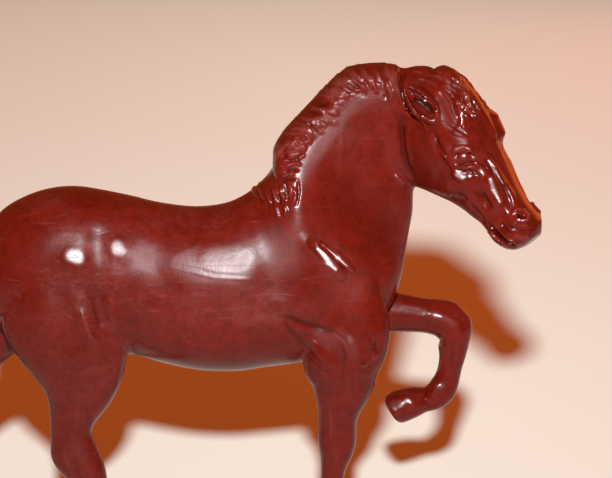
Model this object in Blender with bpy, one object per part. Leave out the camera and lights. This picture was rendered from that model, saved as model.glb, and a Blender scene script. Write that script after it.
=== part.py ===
"""A moulded toy horse: two hollow body halves with a plugged-in head, four legs, a mane and a tail.

Metres, +Z up. The horse faces +X, its left side is +Y, and its three standing hooves rest on Z = 0.
The left foreleg is raised and the head is turned to the horse's right.
"""

import math

import bmesh
import bpy
from mathutils import Matrix, Vector

# Overall sizes
BODY_LENGTH = 0.077        # buttock to chest
WITHERS_HEIGHT = 0.068     # floor to the highest point of the shoulders
BARREL_WIDTH = 0.0238      # widest place of the ribs
HEAD_LENGTH = 0.040        # poll to lips
HEAD_WIDTH = 0.0144        # across the cheeks
HEAD_TURN = math.radians(28)

# Legs: the knee and the hock set how thick each leg is, the tracks how far out the hooves stand
KNEE_DEPTH = 0.0068
KNEE_WIDTH = 0.0066
HOCK_DEPTH = 0.0090
HOCK_WIDTH = 0.0062
FORE_TRACK = 0.0040
RAISED_TRACK = 0.0060
HIND_TRACK = 0.0055
FORE_SEAM_HEIGHT = 0.0392   # where a standing foreleg meets the body
HIND_SEAM_HEIGHT = 0.0397   # the same for the right hind leg
STRIDE_SEAM_HEIGHT = 0.0440   # the same for the left hind leg, which reaches back
RAISED_SEAM_REACH = 0.0334  # how far forward of the origin the raised leg meets the chest

# Moulding
WALL = 0.0018              # wall of the hollow body halves
PIECE_GAP = 0.0003         # between neighbouring pieces
BOSS_RADIUS = 0.0022
PIN_RADIUS = 0.0010
PIN_LENGTH = 0.0026
TENON_DEPTH = 0.0052
TENON_WIDTH = 0.0034
TENON_LENGTH = 0.0042
SPIGOT_RADIUS = 0.0030
SPIGOT_LENGTH = 0.0046
KEY_WIDTH = 0.0014         # rib on the spigot that stops the head turning
KEY_HEIGHT = 0.0010
TAIL_PEG_RADIUS = 0.0011
TAIL_PEG_LENGTH = 0.0040
BLADE_WIDTH = 0.0013       # blade of the mane, held in the seam of the neck
BLADE_DEPTH = 0.0034
OVERRUN = 0.0020           # how far a cut runs past what it cuts
WELD = 0.000001            # points closer than this are one point

# Hair
MANE_HEIGHT = 0.0018       # above the crest of the neck
MANE_LAP = 0.0029          # down the sides of the neck
MANE_THICKNESS = 0.0011
TUFT_DEPTH = 0.0006        # how far the lower edge of the mane is ragged
TUFT_COUNT = 9
FORELOCK_THICKNESS = 0.0009
TAIL_THICKNESS = 0.0052

# Face
EYE_RADIUS = 0.0011
NOSTRIL_RADIUS = 0.0007
MOUTH_OPENING = 0.0005
EAR_LENGTH = 0.0092
EAR_WIDTH = 0.0045
EAR_THICKNESS = 0.0028
EAR_HOLLOW = 0.0008

# How square a section is: 2 is an ellipse, more is fuller at the corners
BODY_SQUARENESS = 2.15
HEAD_SQUARENESS = 2.25
LIMB_SQUARENESS = 2.2
BLADE_SQUARENESS = 6.0

# How finely the surfaces are divided
TRUNK_SIDES = 32
HEAD_SIDES = 28
MANE_SIDES = 20
ROUND_SIDES = 20
LEG_SIDES = 16
SMALL_SIDES = 12
STEPS_BETWEEN_ROWS = 2
MANE_STEPS = 6
BLADE_STEPS = 2
SEAM_SEARCH_STEPS = 12
SHARP_ANGLE = math.radians(40)

# Trunk and neck sections: top x, top z, bottom x, bottom z, half width, height of the widest place
TRUNK_SHARES = (
    (-0.523, 0.806, -0.523, 0.790, 0.02, 0.50),
    (-0.516, 0.850, -0.519, 0.742, 0.30, 0.50),
    (-0.498, 0.900, -0.496, 0.684, 0.52, 0.50),
    (-0.463, 0.957, -0.449, 0.621, 0.74, 0.50),
    (-0.410, 0.994, -0.392, 0.585, 0.88, 0.50),
    (-0.351, 1.016, -0.332, 0.575, 0.95, 0.52),
    (-0.292, 1.022, -0.269, 0.575, 0.96, 0.50),
    (-0.234, 1.013, -0.205, 0.578, 0.94, 0.50),
    (-0.164, 0.997, -0.140, 0.565, 0.92, 0.48),
    (-0.094, 0.978, -0.075, 0.545, 0.95, 0.45),
    (-0.012, 0.967, 0.000, 0.529, 0.99, 0.45),
    (0.058, 0.976, 0.082, 0.526, 1.00, 0.45),
    (0.105, 1.000, 0.152, 0.537, 0.98, 0.42),
    (0.135, 1.027, 0.234, 0.549, 0.94, 0.40),
    (0.157, 1.051, 0.316, 0.568, 0.89, 0.38),
    (0.173, 1.078, 0.392, 0.621, 0.83, 0.40),
    (0.184, 1.100, 0.444, 0.694, 0.76, 0.42),
    (0.196, 1.127, 0.468, 0.765, 0.69, 0.42),
    (0.217, 1.160, 0.479, 0.835, 0.62, 0.43),
    (0.248, 1.198, 0.488, 0.900, 0.56, 0.44),
    (0.284, 1.242, 0.496, 0.954, 0.52, 0.45),
    (0.320, 1.284, 0.497, 0.987, 0.50, 0.46),
    (0.357, 1.316, 0.497, 1.006, 0.50, 0.46),
    (0.412, 1.325, 0.499, 1.019, 0.51, 0.46),
    (0.462, 1.319, 0.500, 1.029, 0.52, 0.46),
)
MANE_FIRST_ROW = 14
BLADE_FIRST_ROW = 15
LEG_ROOT_ROWS = 6          # how many sections of a leg reach into the body
POLL_SHARES = (0.482, 1.338)

# Head sections, from the poll: top reach, top height, bottom reach, bottom height, half width, turn
HEAD_SHARES = (
    (0.070, 0.008, 0.098, -0.543, 0.95, 0.25),
    (0.158, -0.008, 0.158, -0.560, 0.99, 0.55),
    (0.235, -0.040, 0.218, -0.578, 0.98, 0.80),
    (0.300, -0.095, 0.265, -0.595, 0.96, 1.00),
    (0.355, -0.168, 0.308, -0.618, 0.91, 1.00),
    (0.402, -0.248, 0.343, -0.643, 0.82, 1.00),
    (0.447, -0.335, 0.378, -0.665, 0.72, 1.00),
    (0.488, -0.418, 0.402, -0.690, 0.63, 1.00),
    (0.528, -0.493, 0.422, -0.718, 0.58, 1.00),
    (0.568, -0.553, 0.447, -0.745, 0.57, 1.00),
    (0.603, -0.595, 0.488, -0.765, 0.60, 1.00),
    (0.630, -0.643, 0.530, -0.765, 0.53, 1.00),
    (0.622, -0.698, 0.570, -0.745, 0.28, 1.00),
)
HEAD_WIDEST_SHARE = 0.56

# The mane starts low at the withers and rounds off again at the poll
MANE_START_SHARE = 0.25
MANE_END_SHARE = 0.55
MANE_WIDEST_SHARE = 0.2

# Leg sections: x, z, half depth, half width, distance from the middle, slope in degrees
RIGHT_FORELEG_SHARES = (
    (0.352, 0.800, 1.20, 0.90, 1.20, 0),
    (0.345, 0.690, 1.95, 1.36, 1.36, 0),
    (0.334, 0.596, 2.17, 1.42, 1.35, 0),
    (0.330, 0.537, 1.94, 1.33, 1.28, 0),
    (0.335, 0.499, 1.65, 1.24, 1.22, 0),
    (0.332, 0.460, 1.38, 1.15, 1.18, 0),
    (0.326, 0.428, 1.15, 1.06, 1.15, 0),
    (0.322, 0.396, 1.03, 1.00, 1.12, 0),
    (0.321, 0.363, 1.04, 1.00, 1.10, 0),
    (0.321, 0.331, 1.00, 0.97, 1.08, 0),
    (0.319, 0.299, 0.85, 0.85, 1.05, 0),
    (0.314, 0.272, 0.71, 0.76, 1.03, 0),
    (0.310, 0.238, 0.62, 0.67, 1.02, 0),
    (0.309, 0.190, 0.59, 0.64, 1.00, 0),
    (0.309, 0.153, 0.65, 0.70, 1.00, 0),
    (0.308, 0.119, 0.72, 0.79, 1.00, 0),
    (0.313, 0.090, 0.65, 0.76, 1.00, 0),
    (0.322, 0.066, 0.68, 0.85, 1.00, 0),
    (0.330, 0.047, 0.82, 1.03, 1.00, 0),
    (0.339, 0.000, 1.09, 1.24, 1.00, 0),
)
LEFT_FORELEG_SHARES = (
    (0.316, 0.743, 1.82, 1.33, 0.97, 20),
    (0.344, 0.694, 1.71, 1.33, 0.98, 45),
    (0.382, 0.671, 1.44, 1.27, 1.00, 70),
    (0.426, 0.662, 1.21, 1.18, 1.00, 85),
    (0.458, 0.660, 1.09, 1.12, 1.00, 90),
    (0.496, 0.656, 1.00, 1.03, 1.00, 92),
    (0.535, 0.648, 0.91, 0.97, 1.00, 92),
    (0.570, 0.638, 0.97, 0.97, 1.00, 80),
    (0.593, 0.620, 1.06, 1.00, 1.00, 58),
    (0.603, 0.596, 1.00, 0.97, 1.00, 32),
    (0.603, 0.566, 0.85, 0.85, 1.00, 10),
    (0.600, 0.534, 0.72, 0.73, 1.00, 0),
    (0.594, 0.502, 0.66, 0.67, 1.00, -4),
    (0.587, 0.471, 0.70, 0.70, 1.00, -15),
    (0.577, 0.444, 0.78, 0.79, 1.00, -38),
    (0.557, 0.422, 0.73, 0.76, 1.00, -62),
    (0.533, 0.413, 0.67, 0.76, 1.00, -76),
    (0.514, 0.409, 0.82, 0.94, 1.00, -76),
    (0.457, 0.394, 1.06, 1.18, 1.00, -72),
)
RIGHT_HIND_SHARES = (
    (-0.299, 0.835, 2.09, 1.61, 1.13, 0),
    (-0.309, 0.747, 2.42, 1.74, 1.16, 0),
    (-0.313, 0.665, 2.44, 1.74, 1.15, 0),
    (-0.299, 0.597, 2.24, 1.68, 1.13, 0),
    (-0.284, 0.538, 1.84, 1.55, 1.11, 0),
    (-0.278, 0.490, 1.46, 1.39, 1.09, 0),
    (-0.284, 0.449, 1.20, 1.23, 1.07, 0),
    (-0.297, 0.409, 0.94, 1.06, 1.05, 0),
    (-0.304, 0.376, 0.82, 0.97, 1.05, 0),
    (-0.300, 0.346, 0.89, 0.97, 1.05, 0),
    (-0.294, 0.310, 1.00, 1.00, 1.05, 0),
    (-0.283, 0.278, 0.98, 0.97, 1.04, 0),
    (-0.269, 0.246, 0.82, 0.87, 1.04, 0),
    (-0.255, 0.210, 0.64, 0.77, 1.02, 0),
    (-0.240, 0.174, 0.51, 0.71, 1.02, 0),
    (-0.227, 0.135, 0.51, 0.74, 1.00, 0),
    (-0.213, 0.097, 0.58, 0.87, 1.00, 0),
    (-0.196, 0.071, 0.51, 0.81, 1.00, 0),
    (-0.182, 0.049, 0.62, 1.06, 1.00, 0),
    (-0.166, 0.000, 0.82, 1.29, 1.00, 0),
)
LEFT_HIND_SHARES = (
    (-0.305, 0.835, 2.09, 1.61, 1.13, 0),
    (-0.344, 0.753, 2.27, 1.74, 1.16, -12),
    (-0.396, 0.690, 2.04, 1.71, 1.16, -26),
    (-0.456, 0.642, 1.67, 1.58, 1.15, -36),
    (-0.515, 0.597, 1.31, 1.42, 1.15, -40),
    (-0.557, 0.531, 1.10, 1.23, 1.13, -38),
    (-0.587, 0.468, 0.91, 1.06, 1.13, -32),
    (-0.610, 0.415, 0.82, 0.97, 1.13, -25),
    (-0.623, 0.374, 0.87, 0.97, 1.13, -18),
    (-0.631, 0.332, 0.98, 1.00, 1.13, -8),
    (-0.635, 0.297, 0.96, 0.97, 1.13, 0),
    (-0.636, 0.262, 0.78, 0.87, 1.13, 4),
    (-0.640, 0.224, 0.62, 0.77, 1.13, 4),
    (-0.644, 0.182, 0.51, 0.71, 1.13, 4),
    (-0.648, 0.141, 0.51, 0.74, 1.13, 4),
    (-0.649, 0.103, 0.58, 0.87, 1.13, 6),
    (-0.639, 0.072, 0.51, 0.81, 1.13, 8),
    (-0.627, 0.049, 0.62, 1.06, 1.13, 4),
    (-0.618, 0.000, 0.82, 1.29, 1.13, 0),
)

# Tail sections: x, z, half depth, half width, distance from the middle, slope in degrees
TAIL_SHARES = (
    (-0.468, 0.915, 0.60, 0.60, 0.0, 62),
    (-0.519, 0.940, 0.72, 0.72, 0.0, 78),
    (-0.571, 0.925, 0.84, 0.84, 0.0, 110),
    (-0.610, 0.865, 0.98, 0.96, -0.1, 142),
    (-0.631, 0.780, 1.08, 1.04, -0.2, 166),
    (-0.640, 0.680, 1.10, 1.04, -0.3, 176),
    (-0.645, 0.575, 1.04, 0.94, -0.4, 180),
    (-0.648, 0.475, 0.88, 0.76, -0.4, 182),
    (-0.644, 0.385, 0.56, 0.50, -0.3, 190),
    (-0.636, 0.330, 0.18, 0.18, -0.3, 196),
)

# Where the locating pins stand in the body, as x and z
PIN_SHARES = ((-0.350, 0.870), (-0.030, 0.680), (0.235, 0.780), (0.370, 1.110))

# Face, from the poll in the head's own frame: reach, height and distance from the middle
EYE_SHARES = (0.353, -0.349, 0.147)
NOSTRIL_SHARES = (0.588, -0.605, 0.085)
MOUTH_CORNER_SHARES = (0.448, -0.650)
MOUTH_FRONT_SHARES = (0.600, -0.724)
EAR_ROOT_SHARES = (0.215, -0.200, 0.152)
EAR_TIP_SHARES = (0.075, -0.020, 0.160)
EAR_WIDTH_SHARES = ((0.0, 0.62), (0.25, 0.92), (0.5, 1.0), (0.75, 0.72), (0.92, 0.36), (1.0, 0.10))
EAR_HOLLOW_PLACE_SHARE = 0.42
EAR_HOLLOW_SIZE_SHARE = 0.62
FORELOCK_SHARES = (
    (0.100, 0.000, 0.30),
    (0.180, -0.020, 0.42),
    (0.260, -0.058, 0.44),
    (0.330, -0.128, 0.38),
    (0.385, -0.200, 0.26),
    (0.425, -0.262, 0.10),
)

PLASTIC_COLOUR = (0.205, 0.022, 0.016, 1.0)
PLASTIC_ROUGHNESS = 0.32


def clear_scene():
    """Remove whatever the scene holds."""
    for scene_object in list(bpy.data.objects):
        bpy.data.objects.remove(scene_object)


def between(rows, place):
    """Read a smooth curve through the rows at a place counted in rows."""
    last = len(rows) - 1
    index = min(int(place), last - 1)
    share = place - index
    before = rows[max(index - 1, 0)]
    start = rows[index]
    end = rows[index + 1]
    after = rows[min(index + 2, last)]
    values = []
    for a, b, c, d in zip(before, start, end, after):
        slope_in = (c - a) / 2
        slope_out = (d - b) / 2
        bend = 3 * (c - b) - 2 * slope_in - slope_out
        close = 2 * (b - c) + slope_in + slope_out
        values.append(b + share * (slope_in + share * (bend + share * close)))
    return values


def finer(rows, steps=STEPS_BETWEEN_ROWS, first=0):
    """The rows with smooth ones added between them, from the first one on."""
    count = (len(rows) - 1 - first) * steps
    return [between(rows, first + step / steps) for step in range(count + 1)]


def section(top, bottom, side, half_width, widest=0.5, squareness=2.0, sides=SMALL_SIDES):
    """One egg-shaped section between a top and a bottom point, with its widest place in between."""
    middle = bottom.lerp(top, widest)
    points = []
    for index in range(sides):
        turn = 2 * math.pi * index / sides
        rise = math.copysign(abs(math.cos(turn)) ** (2 / squareness), math.cos(turn))
        spread = math.copysign(abs(math.sin(turn)) ** (2 / squareness), math.sin(turn))
        reach = top - middle if rise > 0 else middle - bottom
        points.append(middle + reach * rise + side * half_width * spread)
    return points


def new_object(name, mesh):
    """Put a mesh in the scene under a name."""
    made = bpy.data.objects.new(name, mesh)
    bpy.context.scene.collection.objects.link(made)
    return made


def skin(name, sections):
    """A closed solid through a row of sections with equally many points."""
    shape = bmesh.new()
    rings = [[shape.verts.new(point) for point in points] for points in sections]
    for first, second in zip(rings, rings[1:]):
        for index in range(len(first)):
            following = (index + 1) % len(first)
            shape.faces.new((first[index], first[following], second[following], second[index]))
    shape.faces.new(rings[0])
    shape.faces.new(rings[-1])
    bmesh.ops.recalc_face_normals(shape, faces=shape.faces)
    mesh = bpy.data.meshes.new(name)
    shape.to_mesh(mesh)
    shape.free()
    return new_object(name, mesh)


def block(name, low, high, turned=None):
    """A box from its low corner to its high corner, turned by a matrix when one is given."""
    shape = bmesh.new()
    bmesh.ops.create_cube(shape, size=1)
    size = Vector(high) - Vector(low)
    middle = (Vector(high) + Vector(low)) / 2
    place = Matrix.Translation(middle) @ Matrix.Diagonal((*size, 1))
    if turned is not None:
        place = turned @ place
    bmesh.ops.transform(shape, matrix=place, verts=shape.verts)
    mesh = bpy.data.meshes.new(name)
    shape.to_mesh(mesh)
    shape.free()
    return new_object(name, mesh)


def rod(name, start, end, radius, sides=ROUND_SIDES):
    """A round rod between two points."""
    along = (end - start).normalized()
    across = along.orthogonal().normalized()
    other = along.cross(across)
    sections = []
    for centre in (start, end):
        points = []
        for index in range(sides):
            turn = 2 * math.pi * index / sides
            points.append(centre + radius * (math.cos(turn) * across + math.sin(turn) * other))
        sections.append(points)
    return skin(name, sections)


def ball(name, place, radius):
    """A ball, placed and stretched by a matrix."""
    shape = bmesh.new()
    bmesh.ops.create_uvsphere(shape, u_segments=SMALL_SIDES, v_segments=SMALL_SIDES // 2 + 1, radius=radius)
    bmesh.ops.transform(shape, matrix=place, verts=shape.verts)
    mesh = bpy.data.meshes.new(name)
    shape.to_mesh(mesh)
    shape.free()
    return new_object(name, mesh)


def weld(mesh):
    """Merge the points that a cut leaves all but on top of each other, and drop flaps of no thickness."""
    shape = bmesh.new()
    shape.from_mesh(mesh)
    bmesh.ops.remove_doubles(shape, verts=shape.verts, dist=WELD)
    bmesh.ops.dissolve_degenerate(shape, edges=shape.edges, dist=WELD)
    seen = {}
    for face in shape.faces:
        seen.setdefault(frozenset(face.verts), []).append(face)
    flaps = [face for faces in seen.values() if len(faces) > 1 for face in faces]
    bmesh.ops.delete(shape, geom=flaps, context="FACES")
    rims = [edge for edge in shape.edges if edge.is_boundary]
    if rims:
        bmesh.ops.holes_fill(shape, edges=rims)
        bmesh.ops.recalc_face_normals(shape, faces=shape.faces)
    shape.to_mesh(mesh)
    shape.free()


def change(target, tools, operation):
    """Join all the tools to the target, cut them from it, or keep what they share, and drop the tools."""
    group = bpy.data.collections.new(operation)
    for tool in tools:
        group.objects.link(tool)
    modifier = target.modifiers.new(operation, "BOOLEAN")
    modifier.operation = operation
    modifier.solver = "EXACT"
    modifier.operand_type = "COLLECTION"
    modifier.collection = group
    made = target.evaluated_get(bpy.context.evaluated_depsgraph_get())
    mesh = bpy.data.meshes.new_from_object(made)
    target.modifiers.clear()
    old = target.data
    target.data = mesh
    weld(mesh)
    bpy.data.meshes.remove(old)
    bpy.data.collections.remove(group)
    for tool in tools:
        bpy.data.objects.remove(tool)
    return target


def join(target, *tools):
    return change(target, tools, "UNION")


def cut(target, *tools):
    return change(target, tools, "DIFFERENCE")


def keep(target, tool):
    return change(target, (tool,), "INTERSECT")


def copy(target, name):
    """A second object with its own copy of the mesh."""
    return new_object(name, target.data.copy())


def trunk_ends(row):
    """The top and bottom points of a trunk section."""
    top = Vector((row[0] * BODY_LENGTH, 0, row[1] * WITHERS_HEIGHT))
    bottom = Vector((row[2] * BODY_LENGTH, 0, row[3] * WITHERS_HEIGHT))
    return top, bottom


def trunk(name, swell=0.0, rows=None):
    """The trunk and neck, grown by swell all round."""
    sections = []
    for row in rows or finer(TRUNK_SHARES):
        top, bottom = trunk_ends(row)
        up = (top - bottom).normalized() * swell
        half_width = row[4] * BARREL_WIDTH / 2 + swell
        sections.append(section(top + up, bottom - up, Vector((0, 1, 0)), half_width, row[5],
                                BODY_SQUARENESS, TRUNK_SIDES))
    return skin(name, sections)


def neck_end():
    """The middle of the neck's end and the way it faces."""
    top, bottom = trunk_ends(TRUNK_SHARES[-1])
    up = (top - bottom).normalized()
    return bottom.lerp(top, TRUNK_SHARES[-1][5]), Vector((up.z, 0, -up.x)), up


def hollow():
    """The space inside the body, one wall in from its outside and clear of the spigot."""
    end, forward, _ = neck_end()
    rump = trunk_ends(TRUNK_SHARES[0])[0].x
    kept = []
    for row in finer(TRUNK_SHARES):
        top, bottom = trunk_ends(row)
        behind = (end - bottom.lerp(top, row[5])).dot(forward)
        wide = row[4] * BARREL_WIDTH / 2 > 2 * WALL
        if wide and min(top.x, bottom.x) > rump + WALL and behind > SPIGOT_LENGTH + WALL:
            kept.append(row)
    return trunk("hollow", -WALL, kept)


def limb(name, rows, depth, width, track, swell=0.0):
    """A leg or a tail through its sections, grown by swell all round."""
    sections = []
    for row in finer(rows):
        centre = Vector((row[0] * BODY_LENGTH, row[4] * track, row[1] * WITHERS_HEIGHT))
        slope = math.radians(row[5])
        front = Vector((math.cos(slope), 0, math.sin(slope))) * (row[2] * depth / 2 + swell)
        half_width = row[3] * width / 2 + swell
        side = Vector((0, 1, 0))
        sections.append(section(centre + front, centre - front, side, half_width,
                                squareness=LIMB_SQUARENESS, sides=LEG_SIDES))
    if swell > 0:
        past = Vector((math.sin(slope), 0, -math.cos(slope))) * swell
        sections.append([point + past for point in sections[-1]])
    return skin(name, sections)


LEGS = {
    "right_foreleg": (RIGHT_FORELEG_SHARES, KNEE_DEPTH, KNEE_WIDTH, -FORE_TRACK),
    "left_foreleg": (LEFT_FORELEG_SHARES, KNEE_DEPTH, KNEE_WIDTH, RAISED_TRACK),
    "right_hind_leg": (RIGHT_HIND_SHARES, HOCK_DEPTH, HOCK_WIDTH, -HIND_TRACK),
    "left_hind_leg": (LEFT_HIND_SHARES, HOCK_DEPTH, HOCK_WIDTH, HIND_TRACK),
}
SEAM_HEIGHTS = {
    "right_foreleg": FORE_SEAM_HEIGHT,
    "right_hind_leg": HIND_SEAM_HEIGHT,
    "left_hind_leg": STRIDE_SEAM_HEIGHT,
}


def seam_row(name):
    """The section at which a leg meets the body."""
    for row in finer(LEGS[name][0], SEAM_SEARCH_STEPS):
        if name == "left_foreleg":
            reached = row[0] * BODY_LENGTH >= RAISED_SEAM_REACH
        else:
            reached = row[1] * WITHERS_HEIGHT <= SEAM_HEIGHTS[name]
        if reached:
            return row
    raise ValueError(name + " never reaches its seam")


def seam_of(name):
    """Where a leg meets the body: the middle of the joint, and the way into the leg."""
    row = seam_row(name)
    side = row[4] * LEGS[name][3]
    if name == "left_foreleg":
        return Vector((RAISED_SEAM_REACH, side, row[1] * WITHERS_HEIGHT)), Vector((1, 0, 0))
    return Vector((row[0] * BODY_LENGTH, side, SEAM_HEIGHTS[name])), Vector((0, 0, -1))


def far_side(name, label, back=0.0):
    """The space on the leg's side of its seam, which starts further back when asked."""
    middle, into_leg = seam_of(name)
    start = middle - into_leg * back
    reach = BODY_LENGTH + WITHERS_HEIGHT
    if name == "left_foreleg":
        return block(label, (start.x, -reach, -reach), (reach, reach, reach))
    return block(label, (-reach, -reach, -reach), (reach, reach, start.z))


def tenon(name, label, swell=0.0, longer=0.0):
    """The block that stands from a leg into the body, grown by swell all round."""
    middle, into_leg = seam_of(name)
    half_width = TENON_WIDTH / 2 + swell
    half_depth = TENON_DEPTH / 2 + swell
    inner = TENON_LENGTH + swell + longer
    outer = WALL
    if name == "left_foreleg":
        low = (middle.x - inner, middle.y - half_width, middle.z - half_depth)
        high = (middle.x + outer, middle.y + half_width, middle.z + half_depth)
    else:
        low = (middle.x - half_depth, middle.y - half_width, middle.z - outer)
        high = (middle.x + half_depth, middle.y + half_width, middle.z + inner)
    return block(label, low, high)


def leg_seat(name):
    """The solid behind a leg: one wall wider than the leg all round, and one wall deep."""
    middle, into_leg = seam_of(name)
    row = seam_row(name)
    _, depth, width, _ = LEGS[name]
    half_depth = row[2] * depth / 2 + PIECE_GAP + WALL
    half_width = row[3] * width / 2 + PIECE_GAP + WALL
    inner = PIECE_GAP + WALL
    outer = BODY_LENGTH
    if name == "left_foreleg":
        low = (middle.x - inner, middle.y - half_width, middle.z - half_depth)
        high = (middle.x + outer, middle.y + half_width, middle.z + half_depth)
    else:
        low = (middle.x - half_depth, middle.y - half_width, middle.z - outer)
        high = (middle.x + half_depth, middle.y + half_width, middle.z + inner)
    return block("leg seat", low, high)


def leg(name):
    """A leg with its tenon."""
    made = keep(limb(name, *LEGS[name]), far_side(name, "leg side"))
    return join(made, tenon(name, "tenon"))


def spigot(label, swell=0.0, front=0.0):
    """The round peg behind the head with its key, grown by swell all round."""
    end, forward, up = neck_end()
    back = end - forward * (SPIGOT_LENGTH - PIECE_GAP + swell)
    peg = rod(label, back, end + forward * front, SPIGOT_RADIUS + swell)
    lift = SPIGOT_RADIUS + KEY_HEIGHT + swell
    half_key = KEY_WIDTH / 2 + swell
    turned = Matrix((forward, Vector((0, 1, 0)), up)).transposed().to_4x4()
    turned.translation = end
    low = (-(SPIGOT_LENGTH - PIECE_GAP + swell), -half_key, 0)
    high = (front, half_key, lift)
    return join(peg, block("key", low, high, turned))


def tail_line():
    """The start of the tail and the way its peg runs into the rump."""
    first, second = TAIL_SHARES[0], TAIL_SHARES[1]
    start = Vector((first[0] * BODY_LENGTH, 0, first[1] * WITHERS_HEIGHT))
    following = Vector((second[0] * BODY_LENGTH, 0, second[1] * WITHERS_HEIGHT))
    return start, (start - following).normalized()


def tail_peg(label, swell=0.0):
    """The peg of the tail, grown by swell all round."""
    start, inward = tail_line()
    return rod(label, start - inward * OVERRUN, start + inward * (TAIL_PEG_LENGTH + swell),
               TAIL_PEG_RADIUS + swell)


def blade(label, swell=0.0):
    """The blade under the mane, grown by swell all round."""
    sections = []
    for row in finer(TRUNK_SHARES, BLADE_STEPS, BLADE_FIRST_ROW)[:-BLADE_STEPS]:
        top, bottom = trunk_ends(row)
        up = (top - bottom).normalized()
        high = top + up * MANE_HEIGHT / 2
        low = top - up * (BLADE_DEPTH + swell)
        sections.append(section(high, low, Vector((0, 1, 0)), BLADE_WIDTH / 2 + swell,
                                squareness=BLADE_SQUARENESS))
    if swell > 0:
        lead = (sections[0][0] - sections[1][0]).normalized() * swell
        trail = (sections[-1][0] - sections[-2][0]).normalized() * swell
        sections.insert(0, [point + lead for point in sections[0]])
        sections.append([point + trail for point in sections[-1]])
    return skin(label, sections)


def mane():
    """The strip of hair over the crest, with a ragged lower edge."""
    rows = finer(TRUNK_SHARES, MANE_STEPS, MANE_FIRST_ROW)[:-1]
    sections = []
    for index, row in enumerate(rows):
        along = index / (len(rows) - 1)
        top, bottom = trunk_ends(row)
        up = (top - bottom).normalized()
        rounding = min(1.0, MANE_START_SHARE + 5 * along, MANE_END_SHARE + 3 * (1 - along))
        tuft = TUFT_DEPTH * abs(math.sin(math.pi * TUFT_COUNT * along))
        lap = MANE_LAP * rounding + tuft
        reach = (top - bottom).length * (1 - row[5])
        neck_half = row[4] * BARREL_WIDTH / 2 * math.sqrt(1 - ((reach - lap) / reach) ** 2)
        high = top + up * (MANE_HEIGHT * rounding + tuft / 3)
        low = top - up * lap
        half_width = neck_half + MANE_THICKNESS + tuft / 3
        sections.append(section(high, low, Vector((0, 1, 0)), half_width, MANE_WIDEST_SHARE,
                                LIMB_SQUARENESS, MANE_SIDES))
    strip = cut(skin("mane", sections), trunk("neck clearance", PIECE_GAP))
    return join(strip, blade("blade"))


def head_side():
    """The way to the left of the turned head."""
    return Vector((math.sin(HEAD_TURN), math.cos(HEAD_TURN), 0))


def head_point(reach, height, aside=0.0):
    """A point of the turned head, from shares of its length."""
    poll = Vector((POLL_SHARES[0] * BODY_LENGTH, 0, POLL_SHARES[1] * WITHERS_HEIGHT))
    forward = Vector((math.cos(HEAD_TURN), -math.sin(HEAD_TURN), 0))
    up = Vector((0, 0, 1))
    return poll + HEAD_LENGTH * (reach * forward + aside * head_side() + height * up)


def skull():
    """The head itself, from its joint with the neck to the lips."""
    top, bottom = trunk_ends(TRUNK_SHARES[-1])
    _, forward, up = neck_end()
    lap = up * PIECE_GAP * 2
    step = forward * PIECE_GAP
    half_width = TRUNK_SHARES[-1][4] * BARREL_WIDTH / 2 + PIECE_GAP
    sections = [section(top + lap + step, bottom - lap + step, Vector((0, 1, 0)), half_width,
                        HEAD_WIDEST_SHARE, BODY_SQUARENESS, HEAD_SIDES)]
    for row in finer(HEAD_SHARES):
        turn = HEAD_TURN * row[5]
        side = Vector((math.sin(turn), math.cos(turn), 0))
        sections.append(section(head_point(row[0], row[1]), head_point(row[2], row[3]), side,
                                row[4] * HEAD_WIDTH / 2, HEAD_WIDEST_SHARE, HEAD_SQUARENESS, HEAD_SIDES))
    return skin("head", sections)


def ear(sign):
    """A laid-back ear with a hollow on its outer side: sign is -1 for the right one."""
    root = head_point(EAR_ROOT_SHARES[0], EAR_ROOT_SHARES[1], sign * EAR_ROOT_SHARES[2])
    tip_way = head_point(EAR_TIP_SHARES[0], EAR_TIP_SHARES[1], sign * EAR_TIP_SHARES[2]) - root
    along = tip_way.normalized()
    broad = along.cross(head_side() * sign).normalized()
    thin = broad.cross(along).normalized()
    sections = []
    for share, width_share in EAR_WIDTH_SHARES:
        centre = root + along * EAR_LENGTH * share
        reach = broad * EAR_WIDTH / 2 * width_share
        sections.append(section(centre + reach, centre - reach, thin, EAR_THICKNESS / 2 * width_share))
    place = Matrix((along, broad, thin)).transposed().to_4x4()
    place.translation = root + along * EAR_LENGTH * EAR_HOLLOW_PLACE_SHARE + thin * EAR_THICKNESS / 2
    size = Vector((EAR_LENGTH, EAR_WIDTH, EAR_HOLLOW)) * EAR_HOLLOW_SIZE_SHARE
    return cut(skin("ear", sections), ball("hollow", place @ Matrix.Diagonal((*size, 1)), 0.5))


def forelock():
    """The tuft that lies from the poll down the forehead."""
    sections = []
    for reach, height, width_share in finer(FORELOCK_SHARES):
        top = head_point(reach, height) + Vector((0, 0, FORELOCK_THICKNESS))
        bottom = top - Vector((0, 0, FORELOCK_THICKNESS * 4))
        sections.append(section(top, bottom, head_side(), width_share * HEAD_WIDTH / 2))
    return skin("forelock", sections)


def mouth():
    """The slit between the lips."""
    corner = head_point(*MOUTH_CORNER_SHARES)
    front = head_point(*MOUTH_FRONT_SHARES)
    along = (front - corner).normalized()
    side = head_side()
    turned = Matrix((along, side, along.cross(side))).transposed().to_4x4()
    turned.translation = corner
    reach = (front - corner).length + OVERRUN
    low = (0, -HEAD_WIDTH, -MOUTH_OPENING / 2)
    high = (reach, HEAD_WIDTH, MOUTH_OPENING / 2)
    return block("mouth", low, high, turned)


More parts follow.
